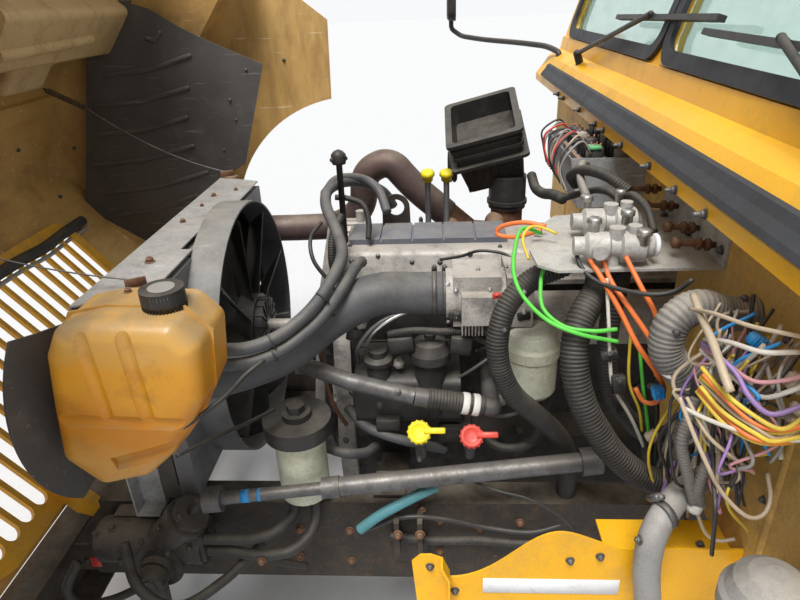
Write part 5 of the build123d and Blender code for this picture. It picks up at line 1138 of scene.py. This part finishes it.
def add_hood_cables():
    """Check cables from the radiator support to the hood, each with a coil spring at the hood's end."""
    sag, turns, steps = 0.030, 20, 14
    coil_reach, coil_length, coil_radius = 0.155, 0.145, 0.0085
    for side, hook, eye in (("right", (1.776, -0.500, 0.735), (2.378, -0.550, 1.023)),
                            ("left", (1.696, 0.412, 0.735), (2.378, 0.550, 1.023))):
        a, b = Vector(hook), Vector(eye)
        along = (b - a).normalized()
        _, u, v = axes_along(along)
        coil_start = b - along * coil_reach
        path = []
        for i in range(41):
            t = i / 40
            path.append(a.lerp(coil_start, t) - Vector((0, 0, sag)) * (4 * t * (1 - t)))
        build = Builder()
        build.tube(path, lambda i: 0.0018, 8)
        cable = build.done("check_cable_" + side, "steel", None)
        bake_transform(cable, ROOT, "hood", start=tuple(a), end=tuple(coil_start))
        coil = []
        for i in range(turns * steps + 1):
            angle = 2 * math.pi * i / steps
            out = (u * math.cos(angle) + v * math.sin(angle)) * coil_radius
            coil.append(coil_start + along * (coil_length * i / (turns * steps)) + out)
        build = Builder()
        build.tube(coil, lambda i: 0.0016, 6)
        build.revolve(b - along * 0.012, along, [(0, 0.003), (0.012, 0.003)], 8)
        build.done("check_spring_" + side, "rubber_black", "hood")
        build = Builder()
        build.box(a + Vector((0, 0, -0.008)), (0.044, 0.005, 0.026), Matrix.Rotation(0.5, 3, "Z"))
        build.box(a + Vector((-0.012, 0, -0.0165)), (0.040, 0.036, 0.003), None, 0.0008)
        build.done("cable_hook_" + side, "cast_rust")


def add_plates():
    """Blank plate on the wheelhouse panel, and a blank ring round the filter."""
    build = Builder()
    build.box((0.858, 0.8048, 0.298), (0.240, 0.0018, 0.036), None, 0.0006)
    build.done("blank_plate", "plate_white")
    build = Builder()
    build.sleeve((1.073, 0.300, 0.486), UP, 0.0395, 0.0008, 0.016, 32)
    build.done("filter_ring", "plate_white")


def add_relays():
    """Relays, breakers and bus bars that stand in the open tray, with their leads."""
    chance = random.Random(5)
    dark, pale, copper = Builder(), Builder(), Builder()
    for row in range(2):
        for i in range(9):
            at = Vector((0.594 + 0.060 * row, -0.270 + 0.036 * i, 0.872 + chance.uniform(0.0, 0.016)))
            turn = Matrix.Rotation(chance.uniform(-0.06, 0.06), 3, "Z")
            (dark if (i + row) % 4 else pale).box(at, (0.030, 0.027, 0.046), turn, 0.003)
            for side in (-0.007, 0.007):
                post = at + Vector((side, 0.004, 0.022))
                copper.revolve(post, UP, [(0, 0.0022), (0.008, 0.0022), (0.009, 0.0015)], 8)
    for x in (0.624, 0.690):
        copper.box((x, -0.120, 0.866), (0.006, 0.290, 0.004), None, 0.0008)
    dark.done("relays", "black_plastic")
    pale.done("breakers", "grey_plastic")
    copper.done("terminals", "copper")
    build = Builder()
    build.box((0.660, 0.022, 0.902), (0.030, 0.026, 0.010), None, 0.002)
    build.done("green_relay", "plate_green")
    colours = ("wire_black", "wire_grey", "wire_red", "wire_black", "wire_tan")
    for number in range(12):
        y = -0.280 + 0.028 * number
        route = [(0.668, y, 0.886), (0.700, y + 0.008, 0.916), (0.736, y + 0.020, 0.892),
                 (0.744, y + 0.030, 0.850), (0.732, y + 0.050, 0.806)]
        route = slack(route, 0.008, 80 + number)
        wire("relay_lead_%02d" % number, route, 0.0028, colours[number % 5], sides=6)


def add_valve_fittings():
    """Ports and blank rings on the air valves."""
    build = Builder()
    for x, y, z in ((0.676, 0.330, 0.878), (0.752, 0.366, 0.878), (0.700, 0.470, 0.880),
                    (0.770, 0.512, 0.880), (0.690, 0.545, 0.868)):
        build.revolve((x, y, z - 0.020), UP, [(0, 0.010), (0.014, 0.010), (0.016, 0.013), (0.026, 0.013),
                                              (0.028, 0.009)], 6)
    build.done("valve_ports", "bright")
    build = Builder()
    ring = [(0, 0.019), (0.002, 0.021), (0.006, 0.021), (0.008, 0.019)]
    build.revolve((0.656, 0.520, 0.836), AHEAD, ring, 28)
    build.revolve((0.636, 0.385, 0.836), AHEAD, [(0, 0.022), (0.020, 0.022), (0.022, 0.019)], 8)
    build.done("valve_rings", "plate_white")


def add_bellows():
    """Bellows of the hot pipe."""
    build = Builder()
    build.revolve((0.986, -0.470, 0.742), (1, 0.02, 0.0), [
        (0, 0.047), (0.004, 0.053), (0.010, 0.053), (0.014, 0.048), (0.018, 0.053), (0.024, 0.053),
        (0.028, 0.048)], 32, caps=False)
    build.done("hot_pipe_bellows", "rubber_black")


def add_foam():
    """Foam roll and thin seal that lie along the grille's top edge inside the hood."""
    for name, radius, slot, x, z in (("foam_roll", 0.020, "rubber_black", 2.462, 0.502),
                                     ("edge_seal", 0.0075, "wire_grey", 2.452, 0.472)):
        route = [(x + 0.004 * math.sin(2.3 * i), -0.70 + 0.14 * i, z + 0.004 * math.cos(1.7 * i))
                 for i in range(11)]
        wire(name, route, radius, slot, "hood", sides=14)


def add_mirror_glass():
    for side in (-1, 1):
        build = Builder()
        build.box((0.9545, side * 1.650, 1.275), (0.0015, 0.146, 0.220), None, 0.0006)
        build.done("mirror_glass_" + ("left" if side > 0 else "right"), "mirror")


def add_knob():
    """Knob on its stalk, with a cross bar."""
    build = Builder()
    build.revolve((1.299, 0.030, 0.640), UP, [(0, 0.008), (0.238, 0.008), (0.240, 0.017), (0.248, 0.019),
                                              (0.264, 0.019), (0.272, 0.012), (0.276, 0.004)], 20)
    build.box((1.299, 0.030, 0.892), (0.046, 0.012, 0.012), Matrix.Rotation(0.5, 3, "Z"), 0.004)
    build.done("knob_stalk", "black_plastic")


def add_filler_caps():
    """Yellow filler caps on their bent necks."""
    caps, necks = Builder(), Builder()
    for at in ((1.080, -0.300, 0.742), (1.022, -0.320, 0.736)):
        caps.revolve(at, (0, 0.3, 1), [(0, 0.016), (0.016, 0.017), (0.018, 0.022), (0.030, 0.021),
                                       (0.034, 0.014)], 8)
    for foot, top in (((1.080, -0.262, 0.560), (1.080, -0.298, 0.746)),
                      ((1.022, -0.262, 0.560), (1.022, -0.318, 0.740))):
        bend = Vector(foot).lerp(Vector(top), 0.4) + Vector((0, -0.012, 0))
        necks.tube(smooth_path([foot, bend, top]), lambda i: 0.0095, 10)
    caps.done("filler_caps", "cap_yellow")
    necks.done("filler_necks", "steel")


def add_steering_marks():
    """Blank tag of the steering gear, and paint bands on the shaft."""
    at, outward, _ = seen(96, 562)
    build = Builder()
    build.box(at, (0.028, 0.034, 0.0030), outward.to_track_quat("Z", "Y").to_matrix())
    build.done("gear_tag", "wire_red")
    foot, along = Vector((1.6, 0.52, 0.22)), Vector((0.9947, 0.0762, -0.0686))
    build = Builder()
    for across, width in ((244, 0.020), (258, 0.008)):
        at = seen(across, 497)[0]
        middle = foot + along * (at - foot).dot(along)
        radius = (at - middle).length + 0.0004
        build.sleeve(middle - along * width / 2, along, radius - 0.001, 0.001, width, 28)
    build.done("shaft_marks", "wire_blue", "steering_shaft")


def add_clutter():
    """Brackets, sensor bodies and small boxes between the filters and the block."""
    dark, pale = Builder(), Builder()
    for at, size, degrees in (
            ((1.140, 0.318, 0.520), (0.060, 0.030, 0.040), 8),
            ((1.000, 0.322, 0.520), (0.050, 0.034, 0.046), -6),
            ((0.930, 0.318, 0.560), (0.040, 0.030, 0.030), 12),
            ((1.250, 0.300, 0.540), (0.040, 0.030, 0.034), -12),
            ((0.880, 0.318, 0.400), (0.046, 0.034, 0.040), 5),
            ((1.180, 0.330, 0.300), (0.060, 0.036, 0.034), 0),
            ((1.020, 0.318, 0.260), (0.070, 0.030, 0.044), 0)):
        dark.box(at, size, spin(degrees, "Y"), 0.003)
    for i in range(7):
        pale.box((0.998 - 0.0075 * i, 0.330, 0.575), (0.0035, 0.048, 0.036), None, 0.0008)
    for at, axis, length, radius in (
            ((1.225, 0.262, 0.560), (0.2, 1, 0.2), 0.060, 0.011),
            ((1.060, 0.262, 0.380), (0, 1, 0.1), 0.050, 0.014),
            ((0.900, 0.262, 0.350), (0, 1, -0.1), 0.052, 0.012),
            ((1.150, 0.262, 0.440), (0, 1, 0.3), 0.048, 0.010)):
        collar = radius * 1.4
        pale.revolve(at, axis, [(0, radius), (length * 0.6, radius), (length * 0.62, collar),
                                (length * 0.86, collar), (length * 0.88, radius), (length, radius)], 6)
    dark.done("engine_boxes", "black_plastic")
    pale.done("engine_fins", "alloy")


def add_stage():
    """Pale floor under the part."""
    corners = [(x * FLOOR_HALF, y * FLOOR_HALF, FLOOR_Z) for x, y in ((-1, -1), (1, -1), (1, 1), (-1, 1))]
    mesh = bpy.data.meshes.new("floor")
    mesh.from_pydata(corners, [], [(0, 1, 2, 3)])
    s = Shade("floor_pale")
    s.colour(s.mix(s.band(s.noise(30.0, 3), 0.3, 0.7), (0.50, 0.50, 0.50), (0.53, 0.53, 0.53)))
    s.rough(s.band(s.noise(12.0, 3), 0.3, 0.7, 0.8, 0.9))
    mesh.materials.append(s.material)
    show(bpy.data.objects.new("floor", mesh))


bpy.context.scene.view_settings.view_transform = "Standard"
for add in (add_camera, add_world, add_sun, dress_cad, add_bolts, add_studs, add_tank_cap, add_conduits,
            add_wires, add_tangle, add_connectors, add_flap, add_clamps, add_caps, add_hood_cables, add_plates,
            add_relays, add_valve_fittings, add_bellows, add_foam, add_mirror_glass, add_knob,
            add_filler_caps, add_steering_marks, add_clutter, add_stage):
    add()
